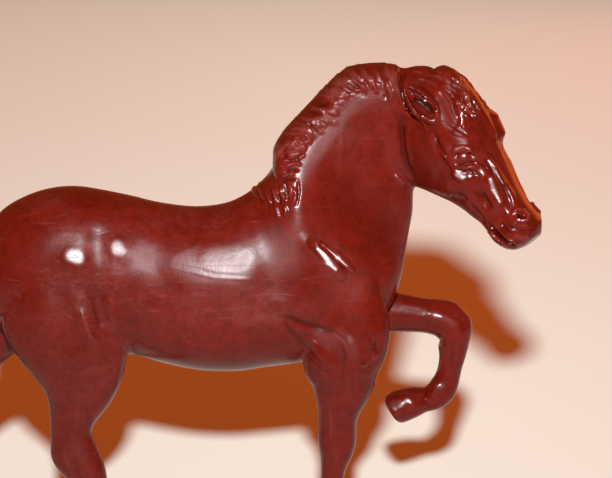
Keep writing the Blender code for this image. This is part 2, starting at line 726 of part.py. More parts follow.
def head():
    """The head with its ears, forelock, eyes, nostrils, mouth and spigot."""
    eyes = []
    openings = [mouth()]
    for sign in (-1, 1):
        eye = head_point(EYE_SHARES[0], EYE_SHARES[1], sign * EYE_SHARES[2])
        nostril = head_point(NOSTRIL_SHARES[0], NOSTRIL_SHARES[1], sign * NOSTRIL_SHARES[2])
        eyes.append(ball("eye", Matrix.Translation(eye), EYE_RADIUS))
        openings.append(ball("nostril", Matrix.Translation(nostril), NOSTRIL_RADIUS))
    made = join(skull(), ear(-1), ear(1), forelock(), spigot("spigot", 0.0, OVERRUN), *eyes)
    return cut(made, *openings)


def tail():
    """The tail with its peg."""
    made = limb("tail", TAIL_SHARES, TAIL_THICKNESS, TAIL_THICKNESS, HIND_TRACK)
    cut(made, trunk("rump clearance", PIECE_GAP))
    return join(made, tail_peg("peg"))


def pin_line(place, low, high, radius, label):
    """A rod across the horse at one pin's place."""
    x = place[0] * BODY_LENGTH
    z = place[1] * WITHERS_HEIGHT
    return rod(label, Vector((x, low, z)), Vector((x, high, z)), radius)


def body():
    """The outside of the body with the roots of its legs."""
    roots = [limb("leg root", rows[:LEG_ROOT_ROWS], depth, width, track)
             for rows, depth, width, track in LEGS.values()]
    return join(trunk("body"), *roots)


def pocket(name):
    """The place that a leg takes from the body, one gap larger than the leg."""
    rows, depth, width, track = LEGS[name]
    root = limb("pocket", rows[:LEG_ROOT_ROWS + 1], depth, width, track, PIECE_GAP)
    return keep(root, far_side(name, "leg side", PIECE_GAP))


def inside():
    """The space inside the body, less the seats of the legs, the tenons and the tail, and the bosses."""
    start, inward = tail_line()
    solid = [leg_seat(name) for name in LEGS]
    solid += [tenon(name, "tenon seat", WALL, WALL) for name in LEGS]
    solid.append(rod("peg seat", start - inward * TAIL_PEG_LENGTH, start + inward * (TAIL_PEG_LENGTH + WALL),
                     TAIL_PEG_RADIUS + WALL))
    solid += [pin_line(place, -BARREL_WIDTH, BARREL_WIDTH, BOSS_RADIUS, "boss") for place in PIN_SHARES]
    return cut(hollow(), *solid)


def body_cuts():
    """Everything that is cut from the body: its inside, the places of the legs and all the sockets."""
    cuts = [pocket(name) for name in LEGS]
    cuts += [tenon(name, "tenon socket", PIECE_GAP) for name in LEGS]
    cuts += [spigot("spigot socket", PIECE_GAP, OVERRUN), tail_peg("peg socket", PIECE_GAP)]
    return cuts + [blade("blade slot", PIECE_GAP), inside()]


def body_half(whole, name, sign):
    """One half of the body: the left one keeps the pins and the right one gets their sockets."""
    reach = BODY_LENGTH + WITHERS_HEIGHT
    edges = sorted((-sign * reach, sign * PIECE_GAP / 2))
    other = block("other half", (-reach, edges[0], -reach), (reach, edges[1], reach * 2))
    if sign > 0:
        pins = [pin_line(place, -PIN_LENGTH, PIN_LENGTH, PIN_RADIUS, "pin") for place in PIN_SHARES]
        return cut(copy(whole, name), *body_cuts(), cut(other, *pins))
    sockets = [pin_line(place, -PIN_LENGTH - PIECE_GAP, OVERRUN, PIN_RADIUS + PIECE_GAP, "socket")
               for place in PIN_SHARES]
    return cut(copy(whole, name), *body_cuts(), *sockets, other)


def paint(piece):
    """Give a piece its own glossy plastic and smooth its round stretches."""
    material = bpy.data.materials.new(piece.name)
    material.use_nodes = True
    surface = material.node_tree.nodes["Principled BSDF"]
    surface.inputs["Base Color"].default_value = PLASTIC_COLOUR
    surface.inputs["Roughness"].default_value = PLASTIC_ROUGHNESS
    surface.inputs["Metallic"].default_value = 0.0
    material.diffuse_color = PLASTIC_COLOUR
    piece.data.materials.clear()
    piece.data.materials.append(material)
    piece.data.shade_smooth()
    piece.data.set_sharp_from_angle(angle=SHARP_ANGLE)


def centre(pieces):
    """Put the middle of the horse's outline over the origin, with its hooves on the floor."""
    corners = [piece.matrix_world @ vertex.co for piece in pieces for vertex in piece.data.vertices]
    middle_x = (min(point.x for point in corners) + max(point.x for point in corners)) / 2
    middle_y = (min(point.y for point in corners) + max(point.y for point in corners)) / 2
    lowest = min(point.z for point in corners)
    for piece in pieces:
        piece.data.transform(Matrix.Translation((-middle_x, -middle_y, -lowest)))


def main():
    clear_scene()
    whole = body()
    pieces = [body_half(whole, "right_body_shell", -1), body_half(whole, "left_body_shell", 1)]
    bpy.data.objects.remove(whole)
    pieces += [head(), mane(), tail()]
    pieces += [leg(name) for name in LEGS]
    centre(pieces)
    for piece in pieces:
        paint(piece)


main()
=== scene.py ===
"""A toy farm horse in one glossy oxblood plastic, modelled over its fixed frame.

Metres, +Z up. The horse faces +X and shows its right side to the camera. The body and legs are drawn
out as one figure, carved, and then cut along the joints of the real moulding. Places on the surface
are given as pixels of the 612 x 478 photograph, which the camera turns into places on the figure.
"""
import math

import bmesh
import bpy
import numpy as np
from bpy.props import FloatProperty, FloatVectorProperty, PointerProperty
from bpy.types import Operator, Panel, PropertyGroup
from mathutils import Matrix, Vector


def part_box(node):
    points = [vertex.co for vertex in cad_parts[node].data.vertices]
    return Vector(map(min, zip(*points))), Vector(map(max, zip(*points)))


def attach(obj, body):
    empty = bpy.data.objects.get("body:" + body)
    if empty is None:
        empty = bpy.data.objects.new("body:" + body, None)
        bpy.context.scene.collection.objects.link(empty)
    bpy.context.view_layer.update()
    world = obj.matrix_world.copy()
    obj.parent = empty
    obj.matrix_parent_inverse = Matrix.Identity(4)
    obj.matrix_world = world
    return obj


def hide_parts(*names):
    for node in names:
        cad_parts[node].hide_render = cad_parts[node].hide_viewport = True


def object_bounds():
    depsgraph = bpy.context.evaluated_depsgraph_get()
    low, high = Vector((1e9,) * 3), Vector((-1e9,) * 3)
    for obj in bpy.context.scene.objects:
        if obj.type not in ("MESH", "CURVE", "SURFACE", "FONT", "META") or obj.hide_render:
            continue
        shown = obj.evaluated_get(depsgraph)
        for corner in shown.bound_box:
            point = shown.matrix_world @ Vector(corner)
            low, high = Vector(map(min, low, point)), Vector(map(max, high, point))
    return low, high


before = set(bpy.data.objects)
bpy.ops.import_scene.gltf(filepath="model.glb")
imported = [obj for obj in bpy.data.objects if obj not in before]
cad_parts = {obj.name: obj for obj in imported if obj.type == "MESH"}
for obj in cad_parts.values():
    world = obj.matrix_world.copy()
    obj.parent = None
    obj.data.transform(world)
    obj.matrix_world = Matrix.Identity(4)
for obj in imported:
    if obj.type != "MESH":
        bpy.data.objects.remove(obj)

bl_info = {
    "name": "Toy farm horse",
    "version": (1, 0, 0),
    "blender": (4, 5, 0),
    "location": "View3D > Sidebar > Horse",
    "description": "Builds a moulded toy horse, its floor and its light",
    "category": "Add Mesh",
}

CAD_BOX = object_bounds()
SHELL_LOW, SHELL_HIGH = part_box("right_body_shell")
MM = 0.001

# The frame's own sizes: the trunk reaches from -0.523 to 0.500 of its length
BODY_LENGTH = (SHELL_HIGH[0] - SHELL_LOW[0]) / 1.023
WITHERS_HEIGHT = SHELL_HIGH[2] / 1.325
ORIGIN_X = SHELL_LOW[0] + 0.523 * BODY_LENGTH
MIDDLE_Y = SHELL_HIGH[1] + 0.15 * MM

# The photograph: the camera's aim, how far it stands, how high it looks down and what a pixel spans
AIM = Vector((ORIGIN_X + 19.08 * MM, MIDDLE_Y, 59.9 * MM))
CAMERA_DISTANCE = 370 * MM
KEY_PLACE = AIM + Vector((-0.001, -0.400, 0.163))
CAMERA_HEIGHT_ANGLE = math.radians(12)
PIXEL = 0.18 * MM
PHOTO_CENTRE = (306, 239)
SENSOR_WIDTH = 36.0
PHOTO_WIDTH = 612


def table(text):
    """Read rows of numbers, where what is joined by commas are the points of a path that ends the row."""
    rows = []
    for line in text.split("\n"):
        words = line.split()
        if words:
            row = [float(word) for word in words if "," not in word]
            path = [tuple(float(part) for part in word.split(",")) for word in words if "," in word]
            rows.append(row + [path] if path else row)
    return rows


# Trunk and neck sections: top x, top z, bottom x, bottom z, half width, height of the widest place
TRUNK_SHARES = table("""
-0.523 0.806 -0.523 0.79 0.02 0.5
-0.516 0.85 -0.519 0.742 0.3 0.5
-0.498 0.9 -0.496 0.684 0.52 0.5
-0.463 0.957 -0.449 0.621 0.74 0.5
-0.41 0.994 -0.392 0.585 0.88 0.5
-0.351 1.016 -0.332 0.575 0.95 0.52
-0.292 1.022 -0.269 0.575 0.96 0.5
-0.234 1.013 -0.205 0.578 0.94 0.5
-0.164 0.997 -0.14 0.565 0.92 0.48
-0.094 0.978 -0.075 0.545 0.95 0.45
-0.012 0.967 0 0.529 0.99 0.45
0.058 0.976 0.082 0.526 1 0.45
0.105 1 0.152 0.537 0.98 0.42
0.135 1.027 0.234 0.549 0.94 0.4
0.157 1.051 0.316 0.568 0.89 0.38
0.173 1.078 0.392 0.621 0.83 0.4
0.184 1.1 0.444 0.694 0.76 0.42
0.196 1.127 0.468 0.765 0.69 0.42
0.217 1.16 0.479 0.835 0.62 0.43
0.248 1.198 0.488 0.9 0.56 0.44
0.284 1.242 0.496 0.954 0.52 0.45
0.32 1.284 0.497 0.987 0.5 0.46
0.357 1.316 0.497 1.006 0.5 0.46
0.412 1.325 0.499 1.019 0.51 0.46
0.462 1.319 0.5 1.029 0.52 0.46
""")
MANE_FIRST_ROW = 15

# How square a section is: a circle has 2. The sides of the neck stay upright up to the mane, so there the
# upper half is squarer and the widest place lies higher
BODY_SQUARENESS = 2.15
NECK_SQUARER = 1.2
NECK_WIDEST_RISE = 0.34
MANE_RISE = 1.75 * MM

POLL_SHARES = (0.482, 1.338)

# Head sections, from the poll: top reach, top height, bottom reach, bottom height, half width, turn
HEAD_SHARES = table("""
0.07 -0.006 0.098 -0.543 0.95 0.25
0.158 -0.014 0.158 -0.56 0.99 0.55
0.235 -0.04 0.218 -0.578 0.98 0.8
0.3 -0.095 0.265 -0.595 0.96 1
0.355 -0.168 0.308 -0.618 0.91 1
0.402 -0.248 0.343 -0.643 0.82 1
0.447 -0.335 0.378 -0.665 0.72 1
0.488 -0.418 0.402 -0.69 0.64 1
0.528 -0.493 0.422 -0.718 0.6 1
0.57 -0.553 0.45 -0.745 0.61 1
0.609 -0.593 0.492 -0.765 0.65 1
0.641 -0.638 0.538 -0.767 0.59 1
0.64 -0.69 0.578 -0.75 0.33 1
""")

# Leg sections: x, z, half depth, half width, distance from the middle, slope in degrees
RIGHT_FORELEG_SHARES = table("""
0.352 0.8 1.2 0.9 1.2 0
0.351 0.69 2.05 1.3 1.36 0
0.34 0.596 2.22 1.38 1.35 0
0.33 0.537 1.94 1.33 1.28 0
0.335 0.499 1.65 1.24 1.22 0
0.332 0.46 1.38 1.15 1.18 0
0.326 0.428 1.15 1.06 1.15 0
0.322 0.396 1.03 1 1.12 0
0.321 0.363 1.04 1 1.1 0
0.321 0.331 1 0.97 1.08 0
0.319 0.299 0.85 0.85 1.05 0
0.314 0.272 0.71 0.76 1.03 0
0.31 0.238 0.62 0.67 1.02 0
0.309 0.19 0.59 0.64 1 0
0.309 0.153 0.65 0.7 1 0
0.308 0.119 0.72 0.79 1 0
0.313 0.09 0.65 0.76 1 0
0.322 0.066 0.68 0.85 1 0
0.33 0.047 0.82 1.03 1 0
0.339 0 1.09 1.24 1 0
""")
LEFT_FORELEG_SHARES = table("""
0.316 0.743 1.82 1.33 0.97 20
0.344 0.694 1.71 1.33 0.98 45
0.382 0.671 1.44 1.27 1 70
0.426 0.662 1.21 1.18 1 85
0.458 0.66 1.09 1.12 1 90
0.496 0.656 1 1.03 1 92
0.535 0.65 0.96 0.97 1 92
0.573 0.642 1.06 1 1 80
0.597 0.624 1.15 1.03 1 58
0.606 0.597 1.08 1 1 32
0.603 0.566 0.85 0.85 1 10
0.6 0.534 0.72 0.73 1 0
0.594 0.502 0.66 0.67 1 -4
0.587 0.471 0.7 0.7 1 -15
0.577 0.444 0.78 0.79 1 -38
0.557 0.422 0.73 0.76 1 -62
0.533 0.413 0.67 0.76 1 -76
0.514 0.409 0.82 0.94 1 -76
0.47 0.393 0.93 1.12 1 -68
0.452 0.382 0.79 1.18 1 -57
""")
RIGHT_HIND_SHARES = table("""
-0.299 0.835 2.09 1.61 1.13 0
-0.309 0.747 2.42 1.74 1.16 0
-0.313 0.665 2.44 1.74 1.15 0
-0.299 0.597 2.24 1.68 1.13 0
-0.284 0.538 1.84 1.55 1.11 0
-0.278 0.49 1.46 1.39 1.09 0
-0.284 0.449 1.2 1.23 1.07 0
-0.297 0.409 0.94 1.06 1.05 0
-0.304 0.376 0.82 0.97 1.05 0
-0.3 0.346 0.89 0.97 1.05 0
-0.294 0.31 1 1 1.05 0
-0.283 0.278 0.98 0.97 1.04 0
-0.269 0.246 0.82 0.87 1.04 0
-0.255 0.21 0.64 0.77 1.02 0
-0.24 0.174 0.51 0.71 1.02 0
-0.227 0.135 0.51 0.74 1 0
-0.213 0.097 0.58 0.87 1 0
-0.196 0.071 0.51 0.81 1 0
-0.182 0.049 0.62 1.06 1 0
-0.166 0 0.82 1.29 1 0
""")
LEFT_HIND_SHARES = table("""
-0.305 0.835 2.09 1.61 1.13 0
-0.344 0.753 2.27 1.74 1.16 -12
-0.396 0.69 2.04 1.71 1.16 -26
-0.456 0.642 1.67 1.58 1.15 -36
-0.515 0.597 1.31 1.42 1.15 -40
-0.557 0.531 1.1 1.23 1.13 -38
-0.587 0.468 0.91 1.06 1.13 -32
-0.61 0.415 0.82 0.97 1.13 -25
-0.623 0.374 0.87 0.97 1.13 -18
-0.631 0.332 0.98 1 1.13 -8
-0.635 0.297 0.96 0.97 1.13 0
-0.636 0.262 0.78 0.87 1.13 4
-0.64 0.224 0.62 0.77 1.13 4
-0.644 0.182 0.51 0.71 1.13 4
-0.648 0.141 0.51 0.74 1.13 4
-0.649 0.103 0.58 0.87 1.13 6
-0.639 0.072 0.51 0.81 1.13 8
-0.627 0.049 0.62 1.06 1.13 4
-0.618 0 0.82 1.29 1.13 0
""")

# Tail sections, counted the same way, in widths of the tail
TAIL_SHARES = table("""
-0.48 0.921 0.6 0.6 0 66
-0.519 0.94 0.72 0.72 0 78
-0.571 0.925 0.84 0.84 0 110
-0.61 0.865 0.98 0.96 -0.1 142
-0.631 0.78 1.08 1.04 -0.2 166
-0.64 0.68 1.1 1.04 -0.3 176
-0.645 0.575 1.04 0.94 -0.4 180
-0.648 0.475 0.88 0.76 -0.4 182
-0.644 0.385 0.56 0.5 -0.3 190
-0.636 0.33 0.18 0.18 -0.3 196
""")

# Where the legs are cut from the body: low and high corner as shares of length, sides and height
LEG_BOXES = {
    "right_foreleg": ((0.215, -1.0, -0.2), (0.480, 0.0, 0.5765)),
    "right_hind_leg": ((-0.450, -1.0, -0.2), (-0.130, 0.0, 0.5838)),
    "left_hind_leg": ((-0.750, 0.0, -0.2), (-0.330, 1.0, 0.6471)),
    "left_foreleg": ((0.4338, 0.052, -0.2), (0.800, 1.0, 0.7500)),
}

# Carving on the right side of the figure: height in mm, radius in pixels, how sharp, then the path
BODY_FORMS = table("""
0.34 26 0  70,260 78,263
0.28 22 0  117,246 123,250
-0.34 20 0  97,236 99,292
0.45 60 0  206,266 232,266
-0.34 34 0  274,216 274,284
0.3 13 0  301,231 311,247 323,262 339,279
0.75 52 0  350,262 356,276
-0.75 54 0  345,194 382,242
0.35 54 0  344,290 352,298
-0.4 14 0  258,308 285,315 306,323 338,334
0.32 14 0  350,346 357,360 358,374
0.28 16 0  314,346 326,366 336,386
-0.28 11 0  333,340 341,362 346,392
-0.3 17 0  124,300 130,324 134,348
0.3 13 0  110,306 115,324 120,340
-0.45 14 0  94,280 99,304 105,332
0.32 11 0  80,306 84,318 90,336 98,350
-0.24 16 0  62,296 66,320 72,345
0.22 28 0  40,290 44,330 60,356
-0.25 26 0  148,322 172,336
-0.22 18 0  384,140 388,170 392,205 388,245
-0.22 14 0  372,262 378,300 380,330
""")
BODY_DETAILS = table("""
-0.2 2.8 0.6  311,237 327,252 342,266 352,276
-0.12 3.4 0.4  324,238 338,250 350,261 360,272
-0.26 4.6 0.6  278,316 292,318 305,323 316,327 332,333
0.05 4 0  302,329 313,332 322,337 330,343
-0.14 3.4 0.8  299,333 311,337 321,344
-0.14 3.4 0.8  320,328 334,332 344,340 350,350
-0.18 3 1  285,320 297,341 311,358 326,373 341,381
0.2 3.2 0  355,366 366,364 374,358 380,352
-0.2 2.6 1  354,371 367,369 377,362
-0.3 4 0  376,338 376,346 375,352
0.16 2.6 0  371,336 370,346 371,355
0.05 5 0  341,128 343,150 341,172 338,188
0.04 5 0  357,176 357,190 361,204
-0.26 5 0.2  283,320 296,334 310,350 324,366 336,384
-0.24 3.4 0.5  368,330 372,344 371,358 366,372
-0.18 3 0.6  340,340 344,356 343,372 346,388
-0.2 4 0.4  92,300 96,314 102,330
-0.16 3 0.5  70,300 74,318 80,338 90,352
-0.12 3 0.5  38,330 50,346 66,360
0.07 2 1  2,226 19,219 55,216 76,209 115,204 150,200
-0.05 3 0.5  2,229 19,222 55,219 76,212 115,207 150,203
0.2 3.2 0.2  80,308 83,316 86,326 90,336 98,344
0.16 3.4 0  108,312 112,322 116,332
0.1 2.6 0  56,336 58,346 64,356 76,366
0.16 4 0  74,404 78,422 76,434
-0.2 5 0  86,398 88,418 86,436
0.22 3 0.5  62,440 65,458 72,474 84,500
-0.22 4 0.5  72,450 78,474 92,506 104,530
0.2 4 0  328,396 331,420 330,444
-0.16 3.6 0  337,392 339,420 338,440
0.18 5 0  334,450 337,462
-0.18 3.6 0.5  340,470 339,500 338,518
0.14 3.4 0  330,472 329,498 330,518
-0.14 2.6 1  322,545 336,546 352,548
-0.14 2.6 1  98,546 114,546 132,548
0.05 3 0  210,326 236,322 258,327
-0.05 2.5 0.5  160,262 190,268 215,274 258,277
0.05 2.5 0.5  160,265 190,271 215,278 262,280
-0.05 2.4 0.5  52,254 62,263 78,270 96,272 128,272
""")
RAISED_LEG_DETAILS = table("""
0.3 8 0  430,314 442,317 454,324
-0.18 4 0.5  424,324 440,328 450,336
0.14 5 0  404,306 420,308
-0.22 4 0  452,340 453,354 450,370
0.14 3.4 0  443,340 443,356 440,374
0.18 5 0  437,385 433,396
-0.34 3.6 0.5  426,386 425,398 430,410
0.22 6 0  408,399 412,404
-0.14 3 0.5  398,392 394,402 398,414
""")

# Carving on the right side of the head
HEAD_FORMS = table("""
0.28 14 0  454,136 467,143
-0.3 12 0  486,146 492,158
-0.45 8 0  442,96 455,122
0.5 17 2  470,190 462,180 452,168 444,156 438,144 433,130
0.25 18 0  416,148 422,166
-0.36 7 0  433,132 437,146 443,156
-0.4 9 0  474,184 482,198 490,210
0.3 10 0  518,214 524,220
-0.3 8 0  500,214 503,224 498,230
0.4 7 0  493,235 502,243
0.25 12 0  428,184 446,190
-0.35 7 0  454,198 460,200
0.35 7 0  401,132 402,150 408,168 418,178
0.4 20 0  452,183 470,191
0.36 13 0  480,166 487,180 493,192 497,204 500,216
0.42 7 0  480,144 490,162 502,181 512,198 518,212
0.3 8 0  458,150 468,150
""")
FAR_BROW_FORMS = table("""
1.4 18 0  471,126 478,140
""")
HEAD_DETAILS = table("""
0.3 5 0  462,157 465,157
0.42 3.2 0.3  452,155 456,149.5 462,147 468,148.5 474,154
-0.44 2.2 1  455,158 458,153.4 464,151.4 469,153.4 474,158
-0.4 2.2 1  455,162 459,164.6 465,164.4 470,161.8 478,163
0.38 2.4 0.3  455,166 460,168 467,167.8 472,166 479,168.5
-0.38 2.2 1  453,168 459,171 466,171 472,170.5 480,176
0.22 4 0  452,131 458,134 465,136
-0.24 2.6 1  476,160 483,165 489,170
-0.28 5.5 0.1  486,160 493,171 500,181 506,191 510,202 511,214
-0.12 5 0  474,176 480,188 485,199 490,210 495,220
-0.22 3 0.6  474,190 483,196 489,203 494,211
0.4 2.4 0.3  511,217 513,212 518,209.5 524,210.5 528,215 527,220 522,222.5 517,221
-0.9 3.4 0.5  519,215.5 523,216.5
-0.4 2.6 1  505,220 511,227 519,231 528,231 536,227
0.24 3 0  520,226 526,226.5
0.3 4.5 0  512,235 522,238 531,236
0.5 4 2  521,247 512,243.5 505,239.5 499,234 493,228 488,221
-1.5 4 0.6  487,222 493,229 499,235.5 505,241 511,245 519,249
-0.34 2.4 1  500,219 503,226 508,231 514,235
0.36 3.6 0  490,232 496,238 502,243
-0.36 2.8 0.8  468,202 475,209 482,217 485,224
-0.42 3.2 0.8  449,198 456,194 463,196 467,202
0.18 2.8 0  437,146 441,152 447,160
-0.4 2.6 0.8  431,129 435,135 438,143 443,152 449,160
0.2 2.6 0  424,126 427,129
-0.22 2.6 0.8  441,122 450,124 460,130 470,137
0.14 2.6 0  478,186 482,188
""")
# Ear rims and hollow; the deep stroke in the hollow is also painted dark as painted shade
EAR_DETAILS = table("""
0.42 2.2 0.3  407,91 414,92 421,97 428,101 434,104 438,111
0.34 2.2 0.3  410,109 416,114 424,118 432,121 437,122
-0.7 6 0  413,97 420,102 427,107 433,114
-0.6 2.6 0.8  402,88 402,98 406,109 412,117 421,123 431,126 438,126
-0.36 2.4 0.8  404,84 412,84 422,88 431,94 438,101 441,110 441,120
""")
FORELOCK_DETAILS = table("""
0.34 2.2 0.2  439,90 446,95 451,102 453,110 456,119
-0.3 1.9 1  442,88 450,93 455,100 456,110 459,119
0.42 3 0  455,97 458,104 460,112 462,120 463,128
-0.34 1.9 1  459,97 462,104 464,112 466,120 467,127
0.4 3 0  458,102 463,106 468,111 473,118
-0.3 1.8 1  463,101 468,106 472,111 476,117
0.36 2.8 0  464,90 467,97 469,104 473,111 478,117
-0.3 1.8 1  468,90 472,98 476,106 482,113
0.3 2.2 0.2  444,84 452,89 459,93
-0.24 1.8 1  440,80 449,84 458,88 465,92
0.26 2.2 0.2  446,74 455,79 464,86 470,94
0.26 2.2 0.2  415,79 425,80 433,84 439,88
-0.24 2 1  409,76 420,76 430,78 438,82
0.24 2.4 0.2  410,72 416,72 424,73
-0.34 2.4 0.8  426,66 430,71 436,74 444,75
0.22 2.2 0.2  432,73 438,77 443,82
""")

# Strips pressed flat so that they face halfway between the camera and the key light, where the figure
# shines, or lean from that: share pressed, radius in pixels, lean to the right and up in degrees, path
BODY_FLATS = table("""
0.35 36 0 0  188,258 230,257
0.42 19 0 0  214,257 234,257
0.75 12 0 0  71,257 77,259
0.75 11 0 0  118,245 118,250
0.85 7 0 0  313,243 320,251 330,263 341,276
0.85 4 0 0  322,244 336,256 352,271
""")
RAISED_LEG_FLATS = table("""
0.65 6 0 0  435,316 440,317
0.7 6 0 0  406,400 409,401
""")
HEAD_FLATS = table("""
0.85 7.5 0 0  458,174 462,177
0.9 3 0 0  469,175 470.5,177
0.72 5.6 0 0  489,179 500,202
0.75 3.6 0 0  488,160 503,184
0.7 5 0 0  457,149 467,149
0.9 3.6 0 0  459,104 474,116
0.9 2.8 0 0  461,112 463.5,127
0.9 2.4 0 0  465,94 468,105
0.9 3 0 0  412,93 421,97
0.9 3 0 0  425,100 435,108
0.8 2.6 0 0  413,112 419,116
0.8 4 0 0  490,233 498,241
""")

# Where the plastic is rubbed dull, or shinier below 0: how much, radius in pixels, how sharp, then the path
BODY_DULL = table("""
1 15 0  388,97 368,99 350,106 338,117 326,134 316,150 308,168 304,196
0.1 44 0  190,256 230,256
0.6 34 0  278,236 286,258
0.4 12 0  96,246 98,256
0.5 24 0  144,254 152,258
0.5 60 0  200,320 260,320
1.6 18 0  318,334 334,338 350,350
0.5 40 0  84,400 72,470
1 9 0  398,306 424,311
1.6 8 0  388,407 397,403
""")
HEAD_DULL = table("""
2.2 11 0  443,100 447,112 450,122
-0.8 5 0  459,104 474,117
-0.8 5 0  459,104 463,127
0.8 10 0  458,133 462,142
1.6 6 0  417,103 424,108 430,113
1.4 10 0  448,86 456,90
0.6 14 0  410,84 424,84
0.5 16 0  424,140 428,160
""")

# The crest of the mane, and the line that the hair on the poll starts from
CREST_PATH = ((276, 163), (272, 155), (276, 144), (285, 130), (296, 114), (310, 100), (322, 83),
              (333, 71), (350, 64), (366, 62), (384, 63), (400, 66))
POLL_PATH = ((400, 68), (412, 66), (424, 67), (436, 64), (449, 69), (462, 79), (474, 93), (486, 108))

# Locks that fall over the withers and curl at the end of the mane
WITHERS_DETAILS = table("""
0.26 3.4 0  253,190 256,196
0.3 3.4 0  259,190 262,198
0.32 3.6 0  265,192 269,201
0.34 3.4 0  273,188 275,196 276,204
0.34 3.2 0  281,186 281,193 286,200
0.4 3.6 0  288,184 292,189 290,197
0.3 3.4 0  284,205 286,211 285,217
0.26 3.2 0  276,208 278,216
0.24 3.4 0  295,188 296,197 292,206
-0.26 2.6 0.5  256,187 259,196 262,206
-0.28 2.6 0.5  262,186 266,197 270,208
-0.3 2.6 0.5  270,184 271,195 273,207
-0.3 2.6 0.5  278,183 278,194 281,206
-0.32 2.6 0.5  285,181 286,191 288,203
-0.24 3 0.4  298,178 299,192 296,208
0.38 2.8 0.2  290,146 296,141 302,143 305,148
-0.34 2.6 0.6  288,151 296,147 304,153
0.38 2.8 0.2  286,155 293,156 302,153
-0.34 2.6 0.6  283,160 292,161 303,158
0.42 3 0.2  284,168 291,164 298,163 302,166
-0.36 2.6 0.6  284,172 292,170 300,171
0.38 3 0.2  281,178 288,174 296,174
-0.34 2.6 0.6  279,183 288,179 297,180
0.3 2.6 0.2  278,146 284,147 289,143
0.5 2.8 0.2  311,120 314,124 318,128
-0.34 2.4 0.6  308,123 312,128 316,132
0.28 2.8 0.2  303,132 308,137 310,143
0.28 2.8 0.2  318,108 323,112 326,118
""")

# Where the head sits against the neck; the groove behind the jaw is carved deep and so also painted dark as
# painted shade
JOINT_DETAILS = table("""
-0.3 3 0.6  406,66 404,74 401,84 402,94 405,104
0.22 2.6 0.4  392,70 398,84 400,97 401,108
-0.5 7 0.5  400,106 401,120 402,136 403,152 407,166 412,176 420,186
0.34 4 0  397,177 402,182
""")

# Spots that are smoothed before carving: side, across, down and radius in pixels
SOFT_SPOTS = table("""
1 346 300 36
1 322 328 24
1 116 350 22
1 60 330 50
-1 346 300 36
1 402 150 20
1 402 110 20
-1 60 330 50
-1 400 420 28
-1 437 332 28
""")

# Zones of the photograph that get the finest skin: side, left, top, right, bottom
FINE_ZONES = table("""
1 240 55 345 225
1 340 55 425 125
1 385 120 425 190
1 278 215 395 360
-1 240 55 425 120
-1 240 110 330 215
""")

# Squares of the skin that the figure, the head and the tail are carved from
FIGURE_GRAIN = 0.32 * MM
HEAD_FORM_GRAIN = 0.24 * MM
HEAD_GRAIN = 0.16 * MM
TAIL_GRAIN = 0.22 * MM

# How far the skin is pressed at most, and how deep behind the nearest place a flat reaches
FLAT_PRESS = 0.7 * MM
FLAT_FRONT = 3 * MM
FLAT_DEPTH = 5 * MM

# Lengths that a user would change: name, millimetres and what it measures
SIZES = (
    ("barrel_width", 23.8, "Widest place of the ribs"),
    ("head_length", 40, "From the poll to the lips"),
    ("head_width", 14.4, "Across the cheeks"),
    ("knee_depth", 6.8, "Front to back of the knee"),
    ("knee_width", 6.6, "Side to side of the knee"),
    ("hock_depth", 9.0, "Front to back of the hock"),
    ("hock_width", 6.2, "Side to side of the hock"),
    ("fore_track", 4.0, "Standing foreleg from the middle"),
    ("raised_track", 6.0, "Raised foreleg from the middle"),
    ("hind_track", 5.5, "Hind legs from the middle"),
    ("tail_thickness", 5.2, "Across the fullest part of the tail"),
    ("mane_lap", 4.9, "How far the mane hangs down the neck"),
    ("hair_depth", 0.42, "How deep the locks are cut"),
    ("joint_gap", 0.015, "Hairline between glued pieces"),
)


class HorseSizes(PropertyGroup):
    """Sizes of the horse that a user would change."""
    head_turn: FloatProperty(name="Head turn", description="How far the head looks to the right",
                             default=math.radians(28), subtype="ANGLE")
    relief: FloatProperty(name="Relief", description="How strongly muscles and creases are carved",
                          default=1.0, min=0.0, max=2.0)


for key, length, words in SIZES:
    HorseSizes.__annotations__[key] = FloatProperty(
        name=key.replace("_", " ").capitalize(), description=words, default=length * MM,
        unit="LENGTH", precision=5)


class HorseFinish(PropertyGroup):
    """Colours and light that a user would change."""
    plastic: FloatVectorProperty(name="Plastic", description="Colour of the dyed plastic", size=4,
                                 subtype="COLOR", min=0, max=1, default=(0.103, 0.0048, 0.0022, 1))
    # Pale bloom and scuffs; the same colour also paints a painted sheen on the barrel and painted highlight
    # on ridges
    bloom: FloatVectorProperty(name="Bloom", description="Pale haze and scuffs on the plastic", size=4,
                               subtype="COLOR", min=0, max=1, default=(0.40, 0.11, 0.105, 1))
    floor: FloatVectorProperty(name="Floor", description="Colour of the floor", size=4,
                               subtype="COLOR", min=0, max=1, default=(0.80, 0.80, 0.78, 1))
    key_power: FloatProperty(name="Key power", description="Main light, the same at any distance",
                             default=8.3)
    fill_power: FloatProperty(name="Fill power", description="Warm light of the room", default=0.37)
    lamp_power: FloatProperty(name="Lamp power", description="Warm lamp beyond the horse, in watts",
                              default=2.0)


# Curves, sections and drawn-out forms


def between(rows, place):
    """Read a smooth curve through the rows at a place counted in rows."""
    last = len(rows) - 1
    index = min(int(place), last - 1)
    share = place - index
    before, start, end, after = (rows[min(max(index + step, 0), last)] for step in (-1, 0, 1, 2))
    values = []
    for a, b, c, d in zip(before, start, end, after):
        slope_in = (c - a) / 2
        slope_out = (d - b) / 2
        bend = 3 * (c - b) - 2 * slope_in - slope_out
        close = 2 * (b - c) + slope_in + slope_out
        values.append(b + share * (slope_in + share * (bend + share * close)))
    return values


def finer(rows, steps, first=0):
    """The rows with smooth ones added between them, from the first one on."""
    count = (len(rows) - 1 - first) * steps
    return [between(rows, first + step / steps) for step in range(count + 1)]


